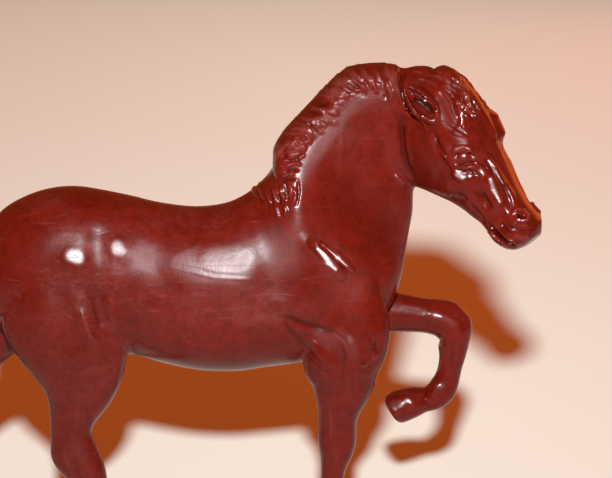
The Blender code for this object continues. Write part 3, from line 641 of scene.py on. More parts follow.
def oval(top, bottom, side, half_width, widest=0.5, squareness=2.2, sides=40, upper=None):
    """One egg-shaped section between a top and a bottom point; the upper half can be squarer."""
    middle = bottom.lerp(top, widest)
    points = []
    for index in range(sides):
        turn = 2 * math.pi * index / sides
        bend = 2 / (upper if upper and math.cos(turn) > 0 else squareness)
        rise = math.copysign(abs(math.cos(turn)) ** bend, math.cos(turn))
        spread = math.copysign(abs(math.sin(turn)) ** bend, math.sin(turn))
        reach = top - middle if rise > 0 else middle - bottom
        points.append(middle + reach * rise + side * half_width * spread)
    return points


def deselect():
    for piece in bpy.context.selected_objects:
        piece.select_set(False)


def pick(piece):
    """Make a piece the only one that the next operator works on."""
    deselect()
    piece.select_set(True)
    bpy.context.view_layer.objects.active = piece


def draw_out(name, sections):
    """Draw a closed form out of a circle, one section after another."""
    deselect()
    bpy.ops.mesh.primitive_circle_add(vertices=len(sections[0]), fill_type="NGON")
    piece = bpy.context.object
    piece.name = name
    bpy.ops.object.mode_set(mode="EDIT")
    bpy.ops.mesh.select_all(action="SELECT")
    shape = bmesh.from_edit_mesh(piece.data)
    shape.verts.ensure_lookup_table()
    ring = list(range(len(shape.verts)))
    for index, place in zip(ring, sections[0]):
        shape.verts[index].co = place
    for section in sections[1:]:
        bpy.ops.mesh.extrude_region_move()
        shape = bmesh.from_edit_mesh(piece.data)
        shape.verts.ensure_lookup_table()
        shape.verts.index_update()
        drawn = []
        for index in ring:
            ends = [edge.other_vert(shape.verts[index]) for edge in shape.verts[index].link_edges]
            drawn.append(next(vert.index for vert in ends if vert.select))
        for index, place in zip(drawn, section):
            shape.verts[index].co = place
        ring = drawn
    bpy.ops.mesh.select_all(action="SELECT")
    bpy.ops.mesh.normals_make_consistent(inside=False)
    bpy.ops.object.mode_set(mode="OBJECT")
    return piece


def box_between(name, low, high):
    """A plain block that other pieces are cut with."""
    deselect()
    bpy.ops.mesh.primitive_cube_add(size=1)
    piece = bpy.context.object
    piece.name = name
    low, high = Vector(low), Vector(high)
    for vertex in piece.data.vertices:
        vertex.co = [(high if side > 0 else low)[axis] for axis, side in enumerate(vertex.co)]
    return piece


def apply_modifier(piece, kind, **settings):
    """Add one modifier, set it and apply it."""
    pick(piece)
    modifier = piece.modifiers.new(kind.title(), kind)
    for key, value in settings.items():
        setattr(modifier, key, value)
    bpy.ops.object.modifier_apply(modifier=modifier.name)


def fuse(name, parts, grain, softening):
    """Join overlapping forms into one even skin of small squares, and soften where they meet."""
    deselect()
    for part in parts:
        part.select_set(True)
    bpy.context.view_layer.objects.active = parts[0]
    if len(parts) > 1:
        bpy.ops.object.join()
    piece = bpy.context.object
    piece.name = name
    apply_modifier(piece, "REMESH", mode="VOXEL", voxel_size=grain)
    apply_modifier(piece, "SMOOTH", factor=0.5, iterations=softening)
    return piece


def in_zones(zones, places):
    """Which places show in one of the zones of the photograph, as seen from the side named with each."""
    inside = np.zeros(len(places), bool)
    for side, left, top, right, bottom in zones:
        on_side = (places[:, 1] - MIDDLE_Y) * side < 0.4 * MM
        pixels = in_photo(places if side > 0 else mirrored(places, (0, 1, 0), (0, MIDDLE_Y, 0)))
        inside |= on_side & (pixels > (left, top)).all(1) & (pixels < (right, bottom)).all(1)
    return inside


def refine(piece, zones):
    """Divide the squares of the skin once more where fine carving comes."""
    centres = np.empty(len(piece.data.polygons) * 3)
    piece.data.polygons.foreach_get("center", centres)
    chosen = in_zones(zones, centres.reshape(-1, 3))
    pick(piece)
    bpy.ops.object.mode_set(mode="EDIT")
    bpy.ops.mesh.select_mode(type="FACE")
    bpy.ops.mesh.select_all(action="DESELECT")
    bpy.ops.object.mode_set(mode="OBJECT")
    piece.data.polygons.foreach_set("select", chosen)
    bpy.ops.object.mode_set(mode="EDIT")
    bpy.ops.mesh.subdivide(number_cuts=1)
    bpy.ops.object.mode_set(mode="OBJECT")
    apply_modifier(piece, "SMOOTH", factor=0.5, iterations=2)


def soften(piece, spots, rounds):
    """Smooth the skin in round spots of the photograph, most at their middles."""
    places = places_of(piece)
    strength = np.zeros(len(places))
    for side, across, down, radius in spots:
        pixels = in_photo(places if side > 0 else mirrored(places, (0, 1, 0), (0, MIDDLE_Y, 0)))
        away = np.linalg.norm(pixels - (across, down), axis=1) / radius
        share = np.clip(1 - away ** 2, 0, 1) * ((places[:, 1] - MIDDLE_Y) * side < 0)
        strength = np.maximum(strength, share)
    group = piece.vertex_groups.new(name="soft")
    for step in range(1, 6):
        chosen = np.flatnonzero((strength > (step - 1) / 5) & (strength <= step / 5))
        group.add(chosen.tolist(), step / 5, "REPLACE")
    apply_modifier(piece, "SMOOTH", factor=0.5, iterations=rounds, vertex_group="soft")
    piece.vertex_groups.clear()


def trim(piece, tool, operation, drop=True):
    """Cut a piece with another closed form."""
    apply_modifier(piece, "BOOLEAN", object=tool, operation=operation, solver="MANIFOLD")
    if drop:
        bpy.data.objects.remove(tool)


def duplicate(piece, name):
    """A second object with its own mesh."""
    made = piece.copy()
    made.data = piece.data.copy()
    made.name = name
    bpy.context.scene.collection.objects.link(made)
    return made


# Carving


def places_of(piece):
    places = np.empty(len(piece.data.vertices) * 3)
    piece.data.vertices.foreach_get("co", places)
    return places.reshape(-1, 3)


def normals_of(piece):
    normals = np.empty(len(piece.data.vertices) * 3)
    piece.data.vertex_normals.foreach_get("vector", normals)
    return normals.reshape(-1, 3)


def move_to(piece, places):
    piece.data.vertices.foreach_set("co", places.ravel())
    piece.data.update()


def camera_axes():
    """Where the camera stands, and its right, up and forward directions."""
    forward = np.array((0, math.cos(CAMERA_HEIGHT_ANGLE), -math.sin(CAMERA_HEIGHT_ANGLE)))
    up = np.array((0, math.sin(CAMERA_HEIGHT_ANGLE), math.cos(CAMERA_HEIGHT_ANGLE)))
    return np.array(AIM) - forward * CAMERA_DISTANCE, np.array((1.0, 0, 0)), up, forward


def in_photo(places):
    """The pixel of the photograph at which each place shows."""
    eye, right, up, forward = camera_axes()
    away = places - eye
    scale = CAMERA_DISTANCE / PIXEL / (away @ forward)
    return np.stack((PHOTO_CENTRE[0] + (away @ right) * scale, PHOTO_CENTRE[1] - (away @ up) * scale), 1)


def facing(places, normals, start=0.05, full=0.45):
    """How squarely the surface faces the camera, from 0 to 1."""
    away = places - camera_axes()[0]
    away /= np.linalg.norm(away, axis=1)[:, None]
    share = np.clip((-(away * normals).sum(1) - start) / (full - start), 0, 1)
    return share * share * (3 - 2 * share)


def along_path(pixels, path):
    """How far each pixel lies from a path, at which share of its length, and whether to its right."""
    path = np.array(path, float)
    lengths = np.linalg.norm(np.diff(path, axis=0), axis=1)
    starts = np.concatenate(((0,), np.cumsum(lengths)))
    nearest = np.full(len(pixels), np.inf)
    shares = np.zeros(len(pixels))
    right = np.zeros(len(pixels))
    for index, length in enumerate(lengths):
        step = path[index + 1] - path[index]
        part = np.clip(((pixels - path[index]) @ step) / length ** 2, 0, 1)
        away = np.linalg.norm(pixels - path[index] - part[:, None] * step, axis=1)
        closer = away < nearest
        nearest[closer] = away[closer]
        shares[closer] = (starts[index] + part[closer] * length) / starts[-1]
        from_start = pixels[closer] - path[index]
        right[closer] = (step[0] * from_start[:, 1] - step[1] * from_start[:, 0]) / length
    return nearest, shares, right


def carve_heights(pixels, strokes):
    """The height that a list of strokes gives each pixel, in metres.

    Sharpness runs from a round ridge at 0 to a sharp one at 1; at 2 only the right of the path rises.
    """
    heights = np.zeros(len(pixels))
    for height, radius, sharp, path in strokes:
        low = np.min(path, axis=0) - radius
        high = np.max(path, axis=0) + radius
        near = np.flatnonzero(((pixels > low) & (pixels < high)).all(1))
        if not len(near):
            continue
        away, share, right = along_path(pixels[near], path)
        reach = np.clip(away / radius, 0, 1)
        if sharp > 1:
            step = np.clip(right / max(1.4, radius * 0.3) + 0.5, 0, 1)
            profile = (1 - reach) ** 2 * (1 + 2 * reach) * step
        else:
            profile = (1 - sharp) * (1 - reach ** 2) ** 3 + sharp * (1 - reach) ** 2
        span = sum(math.dist(one, two) for one, two in zip(path, path[1:]))
        slim = len(path) > 2 and radius < 0.3 * span
        ends = np.clip(np.minimum(share, 1 - share) * 3.2 + 0.12, 0, 1) if slim else np.ones(len(near))
        ends = ends * ends * (3 - 2 * ends)
        heights[near] += height * MM * profile * ends
    return heights


def mirrored(vectors, across, point=None):
    """Vectors or places reflected through a plane with a normal, through a point."""
    across = np.array(across)
    if point is not None:
        return vectors - 2 * ((vectors - np.array(point)) @ across)[:, None] * across
    return vectors - 2 * (vectors @ across)[:, None] * across


def each_side(piece, across, point, sides=(1, -1), start=0.05):
    """The skin as each side would show it to the camera, and how freely it can be worked there."""
    places = places_of(piece)
    normals = normals_of(piece)
    point = (0, MIDDLE_Y, 0) if point is None else point
    off = (places - np.array(point)) @ np.array(across)
    for side in sides:
        seen = places if side > 0 else mirrored(places, across, point)
        turned = normals if side > 0 else mirrored(normals, across)
        depth = np.clip(0.5 - side * off / (0.6 * MM), 0, 1)
        yield seen, facing(seen, turned, start, start + 0.4) * depth


def carve(piece, strokes, relief, across=(0, 1, 0), point=None, sides=(1, -1), where=None,
          start=0.05, wear_and_shade=1.0):
    """Carve strokes into the side that faces the camera, and the same ones into the other side.

    How far each place was raised is kept with the skin, so that the finish paints the high places
    pale, partly as rubbed wear and partly as painted highlight, and paints the low ones dark as painted
    shade.
    """
    places = places_of(piece)
    moved = np.zeros(len(places))
    for seen, weight in each_side(piece, across, point, sides, start):
        moved += carve_heights(in_photo(seen), strokes) * weight
    if where is not None:
        moved *= where(places)
    move_to(piece, places + normals_of(piece) * (moved * relief)[:, None])
    kept = piece.data.attributes.get("raised") or piece.data.attributes.new("raised", "FLOAT", "POINT")
    height = np.zeros(len(places))
    kept.data.foreach_get("value", height)
    kept.data.foreach_set("value", height + moved * relief * wear_and_shade)


def unit(vectors):
    return vectors / np.linalg.norm(vectors, axis=-1, keepdims=True)


def flatten(piece, flats, where=None):
    """Press strips of the side in view flat, facing halfway between the camera and the key light."""
    eye, right, up, forward = camera_axes()
    for share, radius, aside, rise, path in flats:
        places = places_of(piece)
        normals = normals_of(piece)
        pixels = in_photo(places)
        weight = facing(places, normals) if where is None else facing(places, normals) * where(places)
        depth = (places - eye) @ forward
        away = along_path(pixels, path)[0]
        under = np.flatnonzero((away < 1.6) & (weight > 0.02))
        if not len(under):
            raise RuntimeError("nothing shows along " + str(path))
        front = depth[under].min()
        middle = places[under[depth[under] < front + FLAT_FRONT]].mean(0)
        plane = unit(unit(eye - middle) + unit(np.array(KEY_PLACE) - middle))
        plane = unit(plane + math.tan(math.radians(aside)) * right + math.tan(math.radians(rise)) * up)
        gap = ((middle - places) @ plane) / np.clip(normals @ plane, 0.5, 1)
        gap = np.clip(gap, -FLAT_PRESS, FLAT_PRESS)
        fall = (1 - np.clip(away / radius, 0, 1) ** 3) ** 2 * (depth < front + FLAT_DEPTH)
        move_to(piece, places + normals * (gap * share * fall * weight)[:, None])


def rub(piece, strokes, across=(0, 1, 0), point=None):
    """Keep with the skin how dull it was rubbed in strokes that are given as for carving."""
    places = places_of(piece)
    normals = normals_of(piece)
    point = (0, MIDDLE_Y, 0) if point is None else point
    dull = np.zeros(len(places))
    for side in (1, -1):
        seen = places if side > 0 else mirrored(places, across, point)
        turned = normals if side > 0 else mirrored(normals, across)
        dull += carve_heights(in_photo(seen), strokes) / MM * facing(seen, turned)
    piece.data.attributes.new("dull", "FLOAT", "POINT").data.foreach_set("value", dull)


def wobble(values, seed):
    """A smooth wave without a plain rhythm, from -1 to 1."""
    return (np.sin(values * 2.1 + seed) + np.sin(values * 3.7 + seed * 1.7)
            + np.sin(values * 0.9 + seed * 0.6)) / 3


def chance(number, seed):
    """A fixed value from 0 to 1 for each number."""
    return math.modf(abs(math.sin(number * 12.9898 + seed * 78.233)) * 43758.5453)[0]


def tufts(path, depth, count, height, lean, seed):
    """Short overlapping strokes of hair that hang to the right of a path."""
    path = np.array(path, float)
    lengths = np.linalg.norm(np.diff(path, axis=0), axis=1)
    starts = np.concatenate(((0,), np.cumsum(lengths)))
    strokes = []
    for number in range(count):
        share = (number + chance(number, seed)) / count
        place = np.array([np.interp(share * starts[-1], starts, path[:, axis]) for axis in (0, 1)])
        index = min(int(np.searchsorted(starts, share * starts[-1], "right")) - 1, len(lengths) - 1)
        along = (path[index + 1] - path[index]) / lengths[index]
        down = np.array((-along[1], along[0]))
        begin = 0.66 * chance(number, seed + 1)
        reach = 0.26 + 0.26 * chance(number, seed + 2)
        sway = lean + 0.7 * (chance(number, seed + 3) - 0.5)
        curl = 0.9 * (chance(number, seed + 4) - 0.5)
        points = []
        for step in (0.0, 0.33, 0.66, 1.0):
            hang = depth * (begin + reach * step)
            aside = depth * (sway * reach * step + curl * reach * step * (1 - step))
            points.append(place + down * hang + along * aside)
        kind = (0, 2, 0.4, 0)[number % 4]
        rise = height * (0.6 + 0.8 * chance(number, seed + 5)) * (-1 if number % 4 == 2 else 1)
        strokes.append((rise, 3.0 + 3.2 * chance(number, seed + 6), kind, points))
    return strokes


def keep_inside(piece):
    """Hold a piece inside the frame's own box, without flat spots except under the feet."""
    middle = (np.array(CAD_BOX[0]) + np.array(CAD_BOX[1])) / 2
    half = (np.array(CAD_BOX[1]) - np.array(CAD_BOX[0])) / 2 - 0.02 * MM
    away = places_of(piece) - middle
    room = 0.35 * MM
    over = np.maximum(np.abs(away) - (half - room), 0)
    soft = np.sign(away) * (half - room + room * np.tanh(over / room))
    held = np.where(over > 0, soft, away)
    held[:, 2] = np.where(away[:, 2] < 0, np.maximum(away[:, 2], -half[2]), held[:, 2])
    move_to(piece, held + middle)


# The forms


def trunk_ends(row):
    """The top and bottom points of a trunk section."""
    top = Vector((ORIGIN_X + row[0] * BODY_LENGTH, MIDDLE_Y, row[1] * WITHERS_HEIGHT))
    bottom = Vector((ORIGIN_X + row[2] * BODY_LENGTH, MIDDLE_Y, row[3] * WITHERS_HEIGHT))
    return top, bottom


def neck_share(row):
    """From 0 at the shoulder to 1 at the neck."""
    share = min(max((row[0] - 0.12) / 0.09, 0), 1)
    return share * share * (3 - 2 * share)


def trunk(name, barrel_width, swell=0.0):
    """The trunk and neck, grown by swell all round."""
    sections = []
    for row in finer(TRUNK_SHARES, 4):
        top, bottom = trunk_ends(row)
        up = (top - bottom).normalized() * swell
        sections.append(oval(top + up, bottom - up, Vector((0, 1, 0)), row[4] * barrel_width / 2 + swell,
                             row[5] + NECK_WIDEST_RISE * neck_share(row), BODY_SQUARENESS, 64,
                             BODY_SQUARENESS + NECK_SQUARER * neck_share(row)))
    return draw_out(name, sections)


def limb(name, rows, depth, width, track, sides=32):
    """A leg or a tail through its sections."""
    sections = []
    for row in finer(rows, 3):
        centre = Vector((ORIGIN_X + row[0] * BODY_LENGTH, MIDDLE_Y + row[4] * track, row[1] * WITHERS_HEIGHT))
        slope = math.radians(row[5])
        front = Vector((math.cos(slope), 0, math.sin(slope))) * row[2] * depth / 2
        sections.append(oval(centre + front, centre - front, Vector((0, 1, 0)), row[3] * width / 2,
                             sides=sides))
    return draw_out(name, sections)


def neck_end():
    """The top and bottom of the neck's end and the way it faces."""
    top, bottom = trunk_ends(TRUNK_SHARES[-1])
    up = (top - bottom).normalized()
    return top, bottom, Vector((up.z, 0, -up.x)), up


def joint_block(side, gap=0.0):
    """A block that fills everything before (1) or behind (-1) the joint of neck and head."""
    top, bottom, forward, up = neck_end()
    block = box_between("joint block", (0, -0.1, -0.1), (0.1, 0.1, 0.1)) if side > 0 else box_between(
        "joint block", (-0.2, -0.1, -0.2), (0, 0.1, 0.2))
    turn = Matrix((forward, (0, 1, 0), up)).transposed().to_4x4()
    place = top.lerp(bottom, 0.5) + forward * gap
    block.data.transform(Matrix.Translation(place) @ turn)
    return block


def head_side(turn):
    return Vector((math.sin(turn), math.cos(turn), 0))


def head_point(sizes, reach, height, aside=0.0):
    """A point of the turned head, from shares of its length."""
    poll = Vector((ORIGIN_X + POLL_SHARES[0] * BODY_LENGTH, MIDDLE_Y, POLL_SHARES[1] * WITHERS_HEIGHT))
    forward = Vector((math.cos(sizes.head_turn), -math.sin(sizes.head_turn), 0))
    side = head_side(sizes.head_turn)
    return poll + sizes.head_length * (reach * forward + aside * side + height * Vector((0, 0, 1)))


def skull(sizes):
    """The head from its joint with the neck to the lips."""
    top, bottom, forward, up = neck_end()
    half_width = TRUNK_SHARES[-1][4] * sizes.barrel_width / 2
    sections = []
    for step, grown in ((-3.0, -1.2), (-0.4, 0.1), (0.2, 0.3)):
        back = forward * step * MM
        more = up * grown * MM
        sections.append(oval(top + more + back, bottom - more + back, Vector((0, 1, 0)),
                             half_width + grown * MM, 0.5, 2.6))
    for row in finer(HEAD_SHARES, 4):
        sections.append(oval(head_point(sizes, row[0], row[1]), head_point(sizes, row[2], row[3]),
                             head_side(sizes.head_turn * row[5]), row[4] * sizes.head_width / 2, 0.56, 2.25))
    return draw_out("head", sections)


def ear(sizes, sign, hollow=False):
    """A laid-back ear, or the hollow in it: sign is -1 for the right one."""
    root = head_point(sizes, 0.225, -0.215, sign * 0.150)
    tip = head_point(sizes, 0.052, -0.050, sign * 0.172)
    along = tip - root
    side = head_side(sizes.head_turn) * sign
    broad = along.normalized().cross(side).normalized()
    thin = broad.cross(along.normalized())
    rows = ((-0.04, 0.45), (0.06, 0.80), (0.2, 1.0), (0.38, 1.08), (0.56, 1.0), (0.74, 0.80), (0.88, 0.60),
            (0.97, 0.36), (1.03, 0.10))
    wide, deep, shift, lift = 2.3 * MM, 1.5 * MM, 0.0, 0.0
    if hollow:
        rows = ((0.10, 0.10), (0.18, 0.62), (0.34, 1.0), (0.52, 1.0), (0.68, 0.78), (0.82, 0.42),
                (0.90, 0.10))
        wide, deep, shift, lift = 1.45 * MM, 1.5 * MM, 0.85 * MM, 0.3 * MM
    sections = []
    for share, width in rows:
        centre = root + along * share + side * shift - broad * lift * sign
        reach = broad * wide * width
        sections.append(oval(centre + reach, centre - reach, thin, deep * width, sides=20))
    return draw_out("ear", sections)


def forelock(sizes):
    """The tuft that lies from the poll down the forehead."""
    sections = []
    rows = ((-0.070, -0.016, 0.30), (-0.020, -0.022, 0.30), (0.030, -0.010, 0.32), (0.085, -0.006, 0.34),
            (0.125, -0.016, 0.34), (0.165, 0.003, 0.36), (0.220, -0.020, 0.38), (0.280, -0.068, 0.34),
            (0.335, -0.132, 0.28), (0.385, -0.205, 0.20), (0.425, -0.268, 0.10))
    for reach, height, width in finer(rows, 3):
        top = head_point(sizes, reach, height) + Vector((0, 0, 0.7 * MM))
        bottom = top - Vector((0, 0, 3.6 * MM))
        sections.append(oval(top, bottom, head_side(sizes.head_turn), width * sizes.head_width / 2, sides=24))
    return draw_out("forelock", sections)


# Finish


def new_group(name, inputs, outputs):
    """A node group with its named sockets, and the nodes that its inputs and outputs come through."""
    group = bpy.data.node_groups.new(name, "ShaderNodeTree")
    for key, value in inputs.items():
        kind = "NodeSocketVector" if value is None else "NodeSocketFloat"
        made = group.interface.new_socket(name=key, in_out="INPUT", socket_type=kind)
        if value is not None:
            made.default_value = value
    for key in outputs:
        group.interface.new_socket(name=key, in_out="OUTPUT", socket_type="NodeSocketFloat")
    return group, group.nodes.new("NodeGroupInput"), group.nodes.new("NodeGroupOutput")


def node(tree, kind, links=(), **settings):
    """Add a node, set it and link what feeds it: links holds pairs of an input and its source."""
    made = tree.nodes.new(kind)
    for key, value in settings.items():
        setattr(made, key, value)
    for key, source in links:
        if hasattr(source, "is_output"):
            tree.links.new(source, made.inputs[key])
        else:
            made.inputs[key].default_value = source
    return made


def level(tree, value, low, high, to_low=0.0, to_high=1.0):
    """Map a value between two levels, smoothly."""
    made = node(tree, "ShaderNodeMapRange", ((0, value), (1, low), (2, high), (3, to_low), (4, to_high)),
                interpolation_type="SMOOTHSTEP")
    return made.outputs[0]


def maths(tree, operation, first, second=0.0):
    return node(tree, "ShaderNodeMath", ((0, first), (1, second)), operation=operation).outputs[0]


def times(tree, first, second):
    return maths(tree, "MULTIPLY", first, second)


def plus(tree, first, second):
    return maths(tree, "ADD", first, second)


def fading(tree, value, reach):
    """From 1 where a value is 0 down to 0 where it comes to a reach."""
    return node(tree, "ShaderNodeMapRange", ((0, value), (1, 0.0), (2, reach), (3, 1.0), (4, 0.0)))


def mix(tree, share, first, second):
    """Blend two colours by a mask."""
    return node(tree, "ShaderNodeMix", ((0, share), (6, first), (7, second)), data_type="RGBA").outputs[2]


def noise(tree, vector, scale, detail=3.0, roughness=0.55, distortion=0.0):
    made = node(tree, "ShaderNodeTexNoise", (("Vector", vector), ("Scale", scale), ("Detail", detail),
                                             ("Roughness", roughness), ("Distortion", distortion)))
    return made.outputs["Fac"]


def haze_group():
    """Pale bloom that lies in clouds and streaks on handled plastic."""
    group, entry, leave = new_group(
        "Handled bloom", {"Place": None, "Cloud scale": 70.0, "Amount": 0.5}, ("Mask",))
    place, scale, amount = (entry.outputs[key] for key in ("Place", "Cloud scale", "Amount"))
    clouds = level(group, noise(group, place, scale, 5.0, 0.62, 0.4), 0.42, 0.72)
    fine = level(group, noise(group, place, 1100.0, 5.0, 0.75), 0.40, 0.66)
    streaks = node(group, "ShaderNodeMapping", (("Vector", place), ("Rotation", (0.0, 0.35, 0.0)),
                                                ("Scale", (160.0, 400.0, 900.0))))
    rubbed = level(group, noise(group, streaks.outputs[0], 1.0, 3.0, 0.6), 0.56, 0.74)
    both = times(group, clouds, plus(group, times(group, fine, 0.75), 0.25))
    total = plus(group, both, times(group, rubbed, 0.6))
    group.links.new(times(group, total, amount), leave.inputs[0])
    return group


def scratch_group():
    """Fine pale scratches, long and nearly level."""
    group, entry, leave = new_group("Fine scratches", {"Place": None, "Width": 0.006}, ("Mask",))
    total = None
    for turn, seed, rows in ((0.14, 3.0, 120.0), (-0.32, 17.0, 95.0), (0.9, 41.0, 70.0)):
        turned = node(group, "ShaderNodeMapping", (
            ("Vector", entry.outputs["Place"]), ("Location", (seed, seed, seed)),
            ("Rotation", (0.0, turn, 0.0)), ("Scale", (60.0, 60.0, rows * 3))))
        wave = noise(group, turned.outputs[0], 1.0, 1.0, 0.4, 0.15)
        line = maths(group, "ABSOLUTE", maths(group, "SUBTRACT", wave, 0.56))
        thin = fading(group, line, entry.outputs["Width"])
        there = level(group, noise(group, turned.outputs[0], 0.9, 2.0), 0.55, 0.66)
        mark = times(group, thin.outputs[0], there)
        total = mark if total is None else maths(group, "MAXIMUM", total, mark)
    group.links.new(total, leave.inputs[0])
    return group


def parting_group():
    """The line where the halves of the mould met: a thin pale band in one upright plane."""
    group, entry, leave = new_group(
        "Mould line", {"Place": None, "Middle": 0.0, "Lean": 0.0, "Width": 0.0003}, ("Mask",))
    split = node(group, "ShaderNodeSeparateXYZ", ((0, entry.outputs["Place"]),))
    lean = times(group, split.outputs[2], entry.outputs["Lean"])
    line = plus(group, entry.outputs["Middle"], lean)
    away = maths(group, "ABSOLUTE", maths(group, "SUBTRACT", split.outputs[1], line))
    thin = fading(group, away, entry.outputs["Width"])
    thin.interpolation_type = "SMOOTHSTEP"
    broken = level(group, noise(group, entry.outputs["Place"], 260.0, 3.0, 0.6), 0.30, 0.55, 0.35, 1.0)
    group.links.new(times(group, thin.outputs[0], broken), leave.inputs[0])
    return group


def grain_group():
    """The slight unevenness of a moulded surface."""
    group, entry, leave = new_group("Moulded grain", {"Place": None}, ("Height", "Dull"))
    broad = noise(group, entry.outputs[0], 420.0, 3.0, 0.5)
    fine = noise(group, entry.outputs[0], 1700.0, 4.0, 0.6)
    height = plus(group, times(group, broad, 0.6), times(group, fine, 0.4))
    group.links.new(height, leave.inputs[0])
    patches = noise(group, entry.outputs[0], 130.0, 5.0, 0.65)
    group.links.new(level(group, patches, 0.35, 0.68), leave.inputs[1])
    return group


GROUPS = {"Handled bloom": haze_group, "Fine scratches": scratch_group, "Mould line": parting_group,
          "Moulded grain": grain_group}


def placed(tree, name, **values):
    """Put one of the node groups into a material with its own values."""
    group = bpy.data.node_groups.get(name) or GROUPS[name]()
    return node(tree, "ShaderNodeGroup", values.items(), node_tree=group)


def oxblood_plastic(name, finish, middle, lean=0.0, bloom=0.5, parting=0.0003, gloss=0.215):
    """Glossy dyed plastic with bloom, scratches and mould line; painted shade in hollows, painted highlight
    on ridges.
    """
    material = bpy.data.materials.new(name)
    material.use_nodes = True
    tree = material.node_tree
    surface = tree.nodes["Principled BSDF"]
    place = node(tree, "ShaderNodeTexCoord").outputs["Object"]
    split = node(tree, "ShaderNodeSeparateXYZ", ((0, place),))
    # A band round the rear barrel at the height where the key light shines: rougher there as handling wear,
    # and through the bloom painted paler as a painted sheen
    wear_and_sheen_band = level(tree, split.outputs[0], ORIGIN_X + 24 * MM, ORIGIN_X + 10 * MM)
    wear_and_sheen_band = times(tree, wear_and_sheen_band, level(tree, split.outputs[2], 41 * MM, 53 * MM))
    wear_and_sheen_band = times(tree, wear_and_sheen_band, level(tree, split.outputs[2], 70 * MM, 62 * MM))
    haze = placed(tree, "Handled bloom", Place=place, Amount=bloom).outputs[0]
    haze = times(tree, haze, plus(tree, times(tree, wear_and_sheen_band, 0.7), 0.3))
    marks = placed(tree, "Fine scratches", Place=place).outputs[0]
    line = placed(tree, "Mould line", Place=place, Middle=middle, Lean=lean, Width=parting).outputs[0]
    grain = placed(tree, "Moulded grain", Place=place)
    raised_here = node(tree, "ShaderNodeAttribute", attribute_name="raised").outputs["Fac"]
    # Carved ridges are painted paler, partly as rubbed wear and partly as painted highlight
    high = level(tree, raised_here, 0.02 * MM, 0.40 * MM)
    low = level(tree, raised_here, -0.03 * MM, -0.35 * MM)
    deep = [share * 0.74 for share in finish.plastic[:3]] + [1]
    # A dark colour used for random mottling, for the darker low parts and as painted shade in carved hollows
    grime_and_shade = [share * 0.38 for share in finish.plastic[:3]] + [1]
    clouded = level(tree, noise(tree, place, 60.0, 4.0, 0.6), 0.3, 0.75)
    colour = mix(tree, clouded, tuple(finish.plastic), deep)
    mottled = times(tree, level(tree, noise(tree, place, 620.0, 4.0, 0.65), 0.42, 0.66), 0.42)
    colour = mix(tree, mottled, colour, grime_and_shade)
    # Darker towards the bottom of the figure
    darker_below = times(tree, level(tree, split.outputs[2], 48 * MM, 34 * MM), 0.22)
    colour = mix(tree, darker_below, colour, grime_and_shade)
    # The bloom colour goes on as bloom and painted sheen, as painted highlight on ridges, on scratches and on
    # the mould line
    for mask, share in ((haze, 0.26), (high, 0.10), (marks, 0.07), (line, 0.30)):
        colour = mix(tree, times(tree, mask, share), colour, tuple(finish.bloom))
    # Painted shade: the carved hollows take the dark colour
    colour = mix(tree, times(tree, low, 0.85), colour, grime_and_shade)
    tree.links.new(colour, surface.inputs["Base Color"])
    dull = plus(tree, times(tree, haze, 0.16), times(tree, line, 0.15))
    dull = plus(tree, dull, times(tree, wear_and_sheen_band, 0.06))
    rubbed = node(tree, "ShaderNodeAttribute", attribute_name="dull").outputs["Fac"]
    dull = plus(tree, dull, times(tree, rubbed, 0.28))
    dull = plus(tree, dull, times(tree, grain.outputs[1], 0.06))
    rough = plus(tree, dull, gloss)
    tree.links.new(maths(tree, "MAXIMUM", rough, 0.15), surface.inputs["Roughness"])
    surface.inputs["IOR"].default_value = 1.50
    surface.inputs["Specular IOR Level"].default_value = 0.22
    surface.inputs["Specular Tint"].default_value = (1.0, 0.84, 0.93, 1)
    height = maths(tree, "SUBTRACT", grain.outputs[0], times(tree, marks, 0.2))
    bump = node(tree, "ShaderNodeBump", (("Height", height), ("Strength", 0.4), ("Distance", 0.10 * MM)))
    tree.links.new(bump.outputs[0], surface.inputs["Normal"])
    return material


def finished(piece, name, nodes, material, angle=60):
    """Name, shade, paint and place a finished piece on its body."""
    piece.name = name
    piece.data.name = name
    keep_inside(piece)
    pick(piece)
    bpy.ops.object.shade_smooth_by_angle(angle=math.radians(angle))
    piece.data.materials.clear()
    piece.data.materials.append(material)
    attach(piece, "root")
    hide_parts(*nodes)


# The operators


def mane_form(name, barrel_width, lap, rise):
    """The roll of hair along the crest: lap is how far it hangs, rise how far it stands above the crest."""
    rows = finer(TRUNK_SHARES, 6, MANE_FIRST_ROW)
    sections = []
    for index, row in enumerate(rows):
        along = index / (len(rows) - 1)
        top, bottom = trunk_ends(row)
        up = (top - bottom).normalized()
        rounding = min(1.0, 0.3 + 6 * along)
        hang = lap * min(1.0, 0.5 + 4 * along)
        reach = (top - bottom).length * (1 - row[5] - NECK_WIDEST_RISE * neck_share(row))
        bend = BODY_SQUARENESS + NECK_SQUARER * neck_share(row)
        left = max(0.1, 1 - ((reach - hang * 0.6) / reach) ** bend)
        neck_half = row[4] * barrel_width / 2 * left ** (1 / bend)
        sections.append(oval(top + up * rise * rounding, top - up * hang, Vector((0, 1, 0)), neck_half,
                             0.40, 2.1, 32))
    return draw_out(name, sections)


def raised(places):
    """Which places belong to the raised foreleg."""
    return ((places[:, 0] > ORIGIN_X + 34 * MM) & (places[:, 2] < 56 * MM)
            & (places[:, 1] > MIDDLE_Y + 1.5 * MM)).astype(float)


def not_raised(places):
    return 1 - raised(places)


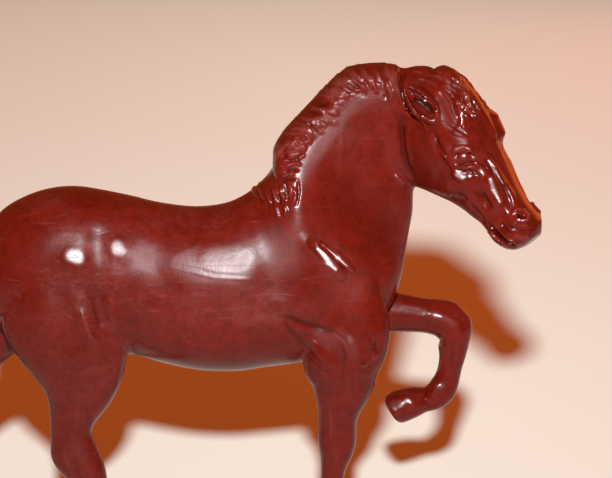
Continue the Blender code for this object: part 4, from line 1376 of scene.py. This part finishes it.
class HORSE_OT_figure(Operator):
    """Model the body, neck and legs as one carved figure"""
    bl_idname = "horse.figure"
    bl_label = "Carve the figure"

    def execute(self, context):
        sizes = context.scene.horse_sizes
        knee = (sizes.knee_depth, sizes.knee_width)
        hock = (sizes.hock_depth, sizes.hock_width)
        parts = [
            trunk("figure", sizes.barrel_width),
            limb("foreleg", RIGHT_FORELEG_SHARES, *knee, -sizes.fore_track),
            limb("raised leg", LEFT_FORELEG_SHARES, *knee, sizes.raised_track),
            limb("hind leg", RIGHT_HIND_SHARES, *hock, -sizes.hind_track),
            limb("far hind leg", LEFT_HIND_SHARES, *hock, sizes.hind_track),
            mane_form("mane form", sizes.barrel_width, sizes.mane_lap, MANE_RISE),
            skull(sizes),
        ]
        figure = fuse("figure", parts, FIGURE_GRAIN, 6)
        soften(figure, SOFT_SPOTS, 60)
        refine(figure, FINE_ZONES)
        leg_middle = MIDDLE_Y + sizes.raised_track
        carve(figure, BODY_FORMS, sizes.relief, where=not_raised, wear_and_shade=0.25)
        carve(figure, BODY_DETAILS + JOINT_DETAILS, sizes.relief, where=not_raised)
        carve(figure, RAISED_LEG_DETAILS, sizes.relief, point=(0, leg_middle, 0), where=raised)
        flatten(figure, BODY_FLATS, where=not_raised)
        flatten(figure, RAISED_LEG_FLATS, where=raised)
        hair = tufts(CREST_PATH, 31, 180, sizes.hair_depth / MM * 0.36, 0.55, 3.0)
        carve(figure, hair, 1.0, start=0.1)
        carve(figure, WITHERS_DETAILS, 1.0, start=-0.1)
        rub(figure, BODY_DULL)
        return {"FINISHED"}


def leg_box(name, gap):
    """The block that holds one leg, grown by a gap."""
    low, high = LEG_BOXES[name]
    spans = (BODY_LENGTH, BODY_LENGTH / 2, WITHERS_HEIGHT)
    origin = (ORIGIN_X, MIDDLE_Y, 0)
    corners = [[origin[axis] + share * spans[axis] for axis, share in enumerate(corner)]
               for corner in (low, high)]
    if name == "left_foreleg":
        corners[0][0] -= gap
    else:
        corners[1][2] += gap
    return box_between("leg block", *corners)


class HORSE_OT_body(Operator):
    """Cut the two halves of the body out of the figure"""
    bl_idname = "horse.body"
    bl_label = "Cut the body halves"

    def execute(self, context):
        sizes = context.scene.horse_sizes
        finish = context.scene.horse_finish
        figure = bpy.data.objects["figure"]
        for side, sign in (("right", -1), ("left", 1)):
            half = duplicate(figure, side + "_body_half")
            edges = sorted((MIDDLE_Y - sign, MIDDLE_Y + sign * sizes.joint_gap / 2))
            trim(half, box_between("other half", (-1, edges[0], -1), (1, edges[1], 1)), "DIFFERENCE")
            for leg in LEG_BOXES:
                if leg.startswith(side):
                    trim(half, leg_box(leg, sizes.joint_gap), "DIFFERENCE")
            trim(half, mane_block(sizes, sizes.joint_gap), "DIFFERENCE")
            trim(half, joint_block(1), "DIFFERENCE")
            material = oxblood_plastic(side + " body plastic", finish, MIDDLE_Y)
            finished(half, side + "_body_half", (side + "_body_shell",), material)
        return {"FINISHED"}


class HORSE_OT_legs(Operator):
    """Cut the four legs out of the figure"""
    bl_idname = "horse.legs"
    bl_label = "Cut the legs"

    def execute(self, context):
        sizes = context.scene.horse_sizes
        finish = context.scene.horse_finish
        figure = bpy.data.objects["figure"]
        tracks = {
            "right_foreleg": (-sizes.fore_track, -0.040),
            "left_foreleg": (sizes.raised_track, 0.0),
            "right_hind_leg": (-sizes.hind_track, -0.022),
            "left_hind_leg": (sizes.hind_track * 1.13, 0.0),
        }
        for name, (track, lean) in tracks.items():
            title = name + "_moulding"
            leg = duplicate(figure, title)
            trim(leg, leg_box(name, 0.0), "INTERSECT")
            material = oxblood_plastic(title + " plastic", finish, MIDDLE_Y + track, lean, 0.6, 0.00045)
            finished(leg, title, (name,), material)
        return {"FINISHED"}


class HORSE_OT_head(Operator):
    """Model the turned head with its ears, eyes, nostrils, mouth and forelock"""
    bl_idname = "horse.head"
    bl_label = "Model the head"

    def execute(self, context):
        sizes = context.scene.horse_sizes
        right_hollow, left_hollow = ear(sizes, -1, True), ear(sizes, 1, True)
        parts = [skull(sizes), ear(sizes, -1), ear(sizes, 1), forelock(sizes),
                 trunk("neck", sizes.barrel_width),
                 mane_form("mane form", sizes.barrel_width, sizes.mane_lap, MANE_RISE)]
        for part in parts[-2:]:
            trim(part, joint_block(-1, -5 * MM), "DIFFERENCE")
        head = fuse("carved head", parts, HEAD_FORM_GRAIN, 4)
        across = tuple(head_side(sizes.head_turn))
        point = tuple(head_point(sizes, 0, 0))
        carve(head, HEAD_FORMS, sizes.relief, across, point, wear_and_shade=0.0)
        carve(head, FAR_BROW_FORMS, sizes.relief, across, point, sides=(-1,))
        trim(head, right_hollow, "DIFFERENCE")
        trim(head, left_hollow, "DIFFERENCE")
        apply_modifier(head, "REMESH", mode="VOXEL", voxel_size=HEAD_GRAIN)
        apply_modifier(head, "SMOOTH", factor=0.5, iterations=3)
        carve(head, EAR_DETAILS + HEAD_DETAILS + FORELOCK_DETAILS, sizes.relief, across, point, start=0.2)
        flatten(head, HEAD_FLATS)
        carve(head, JOINT_DETAILS, sizes.relief, across, point)
        hair = tufts(POLL_PATH, 22, 34, sizes.hair_depth / MM * 0.2, 0.9, 8.0)
        carve(head, hair, 1.0, across, point, start=0.1)
        rub(head, HEAD_DULL, across, point)
        trim(head, joint_block(-1, sizes.joint_gap), "DIFFERENCE")
        material = oxblood_plastic("head plastic", context.scene.horse_finish, -1.0, 0.0, 0.35)
        finished(head, "turned_head", ("head",), material)
        return {"FINISHED"}


def mane_block(sizes, gap):
    """The block that holds the mane: the crest down to its lap, without the inside of the neck."""
    block = mane_form("mane block", sizes.barrel_width + 3 * MM, sizes.mane_lap + gap, 4 * MM)
    trim(block, trunk("inside of the neck", sizes.barrel_width, -1.1 * MM - gap), "DIFFERENCE")
    return block


class HORSE_OT_mane(Operator):
    """Cut the mane out of the figure"""
    bl_idname = "horse.mane"
    bl_label = "Cut the mane"

    def execute(self, context):
        sizes = context.scene.horse_sizes
        mane = duplicate(bpy.data.objects["figure"], "mane")
        trim(mane, mane_block(sizes, 0.0), "INTERSECT")
        trim(mane, joint_block(1), "DIFFERENCE")
        bpy.data.objects.remove(bpy.data.objects["figure"])
        material = oxblood_plastic("mane plastic", context.scene.horse_finish, -1.0, 0.0, 0.3, gloss=0.31)
        finished(mane, "mane_of_locks", ("mane",), material)
        return {"FINISHED"}


class HORSE_OT_tail(Operator):
    """Model the hanging tail with its locks"""
    bl_idname = "horse.tail"
    bl_label = "Model the tail"

    def execute(self, context):
        sizes = context.scene.horse_sizes
        thickness = sizes.tail_thickness
        form = limb("tail form", TAIL_SHARES, thickness, thickness, sizes.hind_track)
        tail = fuse("tail form", [form], TAIL_GRAIN, 3)
        path = in_photo(np.array([(ORIGIN_X + row[0] * BODY_LENGTH, MIDDLE_Y, row[1] * WITHERS_HEIGHT)
                                  for row in TAIL_SHARES]))
        places = places_of(tail)
        normals = normals_of(tail)
        pixels = in_photo(places)
        share = along_path(pixels, path)[1]
        line = np.stack([np.interp(share, np.linspace(0, 1, len(path)), path[:, axis]) for axis in (0, 1)], 1)
        turn = np.arctan2((places[:, 1] - MIDDLE_Y) / PIXEL, pixels[:, 0] - line[:, 0])
        locks = np.zeros(len(places))
        for count, size in ((5, 1.0), (11, 0.6), (23, 0.35)):
            twist = turn * count / 2 + share * (5 + count * 0.3) + wobble(share * 9, count)
            locks += size * (np.abs(np.sin(twist)) - 0.6)
        move_to(tail, places + normals * (locks * sizes.hair_depth * np.clip(share * 4, 0.2, 1))[:, None])
        trim(tail, trunk("rump", sizes.barrel_width, sizes.joint_gap), "DIFFERENCE")
        material = oxblood_plastic("tail plastic", context.scene.horse_finish, -1.0, 0.0, 0.3)
        finished(tail, "hanging_tail", ("tail",), material)
        return {"FINISHED"}


class HORSE_OT_stage(Operator):
    """Lay the floor, hang the lights and set the camera"""
    bl_idname = "horse.stage"
    bl_label = "Set the stage"

    def execute(self, context):
        finish = context.scene.horse_finish
        deselect()
        bpy.ops.mesh.primitive_plane_add(size=10.0)
        floor = context.object
        floor.name = "floor"
        material = bpy.data.materials.new("pale card")
        material.use_nodes = True
        tree = material.node_tree
        place = node(tree, "ShaderNodeTexCoord").outputs["Object"]
        # The floor is painted darker near the horse and paler far away, as painted shade and painted light
        # across the floor
        far = node(tree, "ShaderNodeVectorMath", ((0, place),), operation="LENGTH").outputs["Value"]
        cloudy = times(tree, noise(tree, place, 6.0), 0.04)
        shade = plus(tree, level(tree, far, 0.22, 1.15), cloudy)
        near = [share * part for share, part in zip(finish.floor, (0.93, 0.86, 0.86, 1.0))]
        distant_painted_light = [share * part for share, part in zip(finish.floor, (1.06, 1.14, 1.14, 1.0))]
        surface = tree.nodes["Principled BSDF"]
        tree.links.new(mix(tree, shade, near, distant_painted_light), surface.inputs["Base Color"])
        surface.inputs["Roughness"].default_value = 0.85
        surface.inputs["Specular IOR Level"].default_value = 0.2
        floor.data.materials.append(material)
        ahead = Vector(camera_axes()[3])
        key = self.hang("key", KEY_PLACE, KEY_PLACE + ahead, 0.022, finish.key_power, (0.80, 1.0, 0.93))
        key.data.spread = math.radians(100)
        key.data.use_nodes = True
        tree = key.data.node_tree
        steady = tree.nodes.new("ShaderNodeLightFalloff")
        steady.inputs["Strength"].default_value = 1.0
        tree.links.new(steady.outputs["Constant"], tree.nodes["Emission"].inputs["Strength"])
        self.hang("warm lamp", AIM + Vector((0.62, 0.76, 0.30)), AIM, 0.50, finish.lamp_power,
                  (1.0, 0.18, 0.035))
        world = bpy.data.worlds.new("room")
        world.use_nodes = True
        world.node_tree.nodes["Background"].inputs[0].default_value = (1.0, 0.19, 0.03, 1)
        world.node_tree.nodes["Background"].inputs[1].default_value = finish.fill_power
        context.scene.world = world
        camera_data = bpy.data.cameras.new("camera")
        camera_data.sensor_width = SENSOR_WIDTH
        camera_data.lens = SENSOR_WIDTH * CAMERA_DISTANCE / (PHOTO_WIDTH * PIXEL)
        camera_data.clip_start = 0.01
        camera = bpy.data.objects.new("camera", camera_data)
        context.scene.collection.objects.link(camera)
        eye = camera_axes()[0]
        tilt = Matrix.Rotation(math.pi / 2 - CAMERA_HEIGHT_ANGLE, 4, "X")
        camera.matrix_world = Matrix.Translation(Vector(eye)) @ tilt
        context.scene.camera = camera
        context.scene.view_settings.view_transform = "Standard"
        return {"FINISHED"}

    def hang(self, name, place, target, size, power, colour):
        """An area light that looks at its target."""
        deselect()
        bpy.ops.object.light_add(type="AREA", location=place)
        lamp = bpy.context.object
        lamp.name = name
        lamp.data.shape = "DISK"
        lamp.data.size = size
        lamp.data.energy = power
        lamp.data.color = colour
        lamp.rotation_euler = (target - place).to_track_quat("-Z", "Y").to_euler()
        return lamp


STEPS = ("figure", "body", "legs", "head", "mane", "tail", "stage")


class HORSE_PT_panel(Panel):
    """The horse's sizes, finish and steps"""
    bl_idname = "HORSE_PT_panel"
    bl_label = "Toy farm horse"
    bl_space_type = "VIEW_3D"
    bl_region_type = "UI"
    bl_category = "Horse"

    def draw(self, context):
        for group in (context.scene.horse_sizes, context.scene.horse_finish):
            for key in group.__annotations__:
                self.layout.prop(group, key)
        for step in STEPS:
            self.layout.operator("horse." + step)


CLASSES = (HorseSizes, HorseFinish, HORSE_OT_figure, HORSE_OT_body, HORSE_OT_legs, HORSE_OT_head,
           HORSE_OT_mane, HORSE_OT_tail, HORSE_OT_stage, HORSE_PT_panel)


def register():
    for each in CLASSES:
        bpy.utils.register_class(each)
    bpy.types.Scene.horse_sizes = PointerProperty(type=HorseSizes)
    bpy.types.Scene.horse_finish = PointerProperty(type=HorseFinish)


def unregister():
    del bpy.types.Scene.horse_finish
    del bpy.types.Scene.horse_sizes
    for each in reversed(CLASSES):
        bpy.utils.unregister_class(each)


def main():
    register()
    for step in STEPS:
        getattr(bpy.ops.horse, step)()


if __name__ == "__main__":
    main()
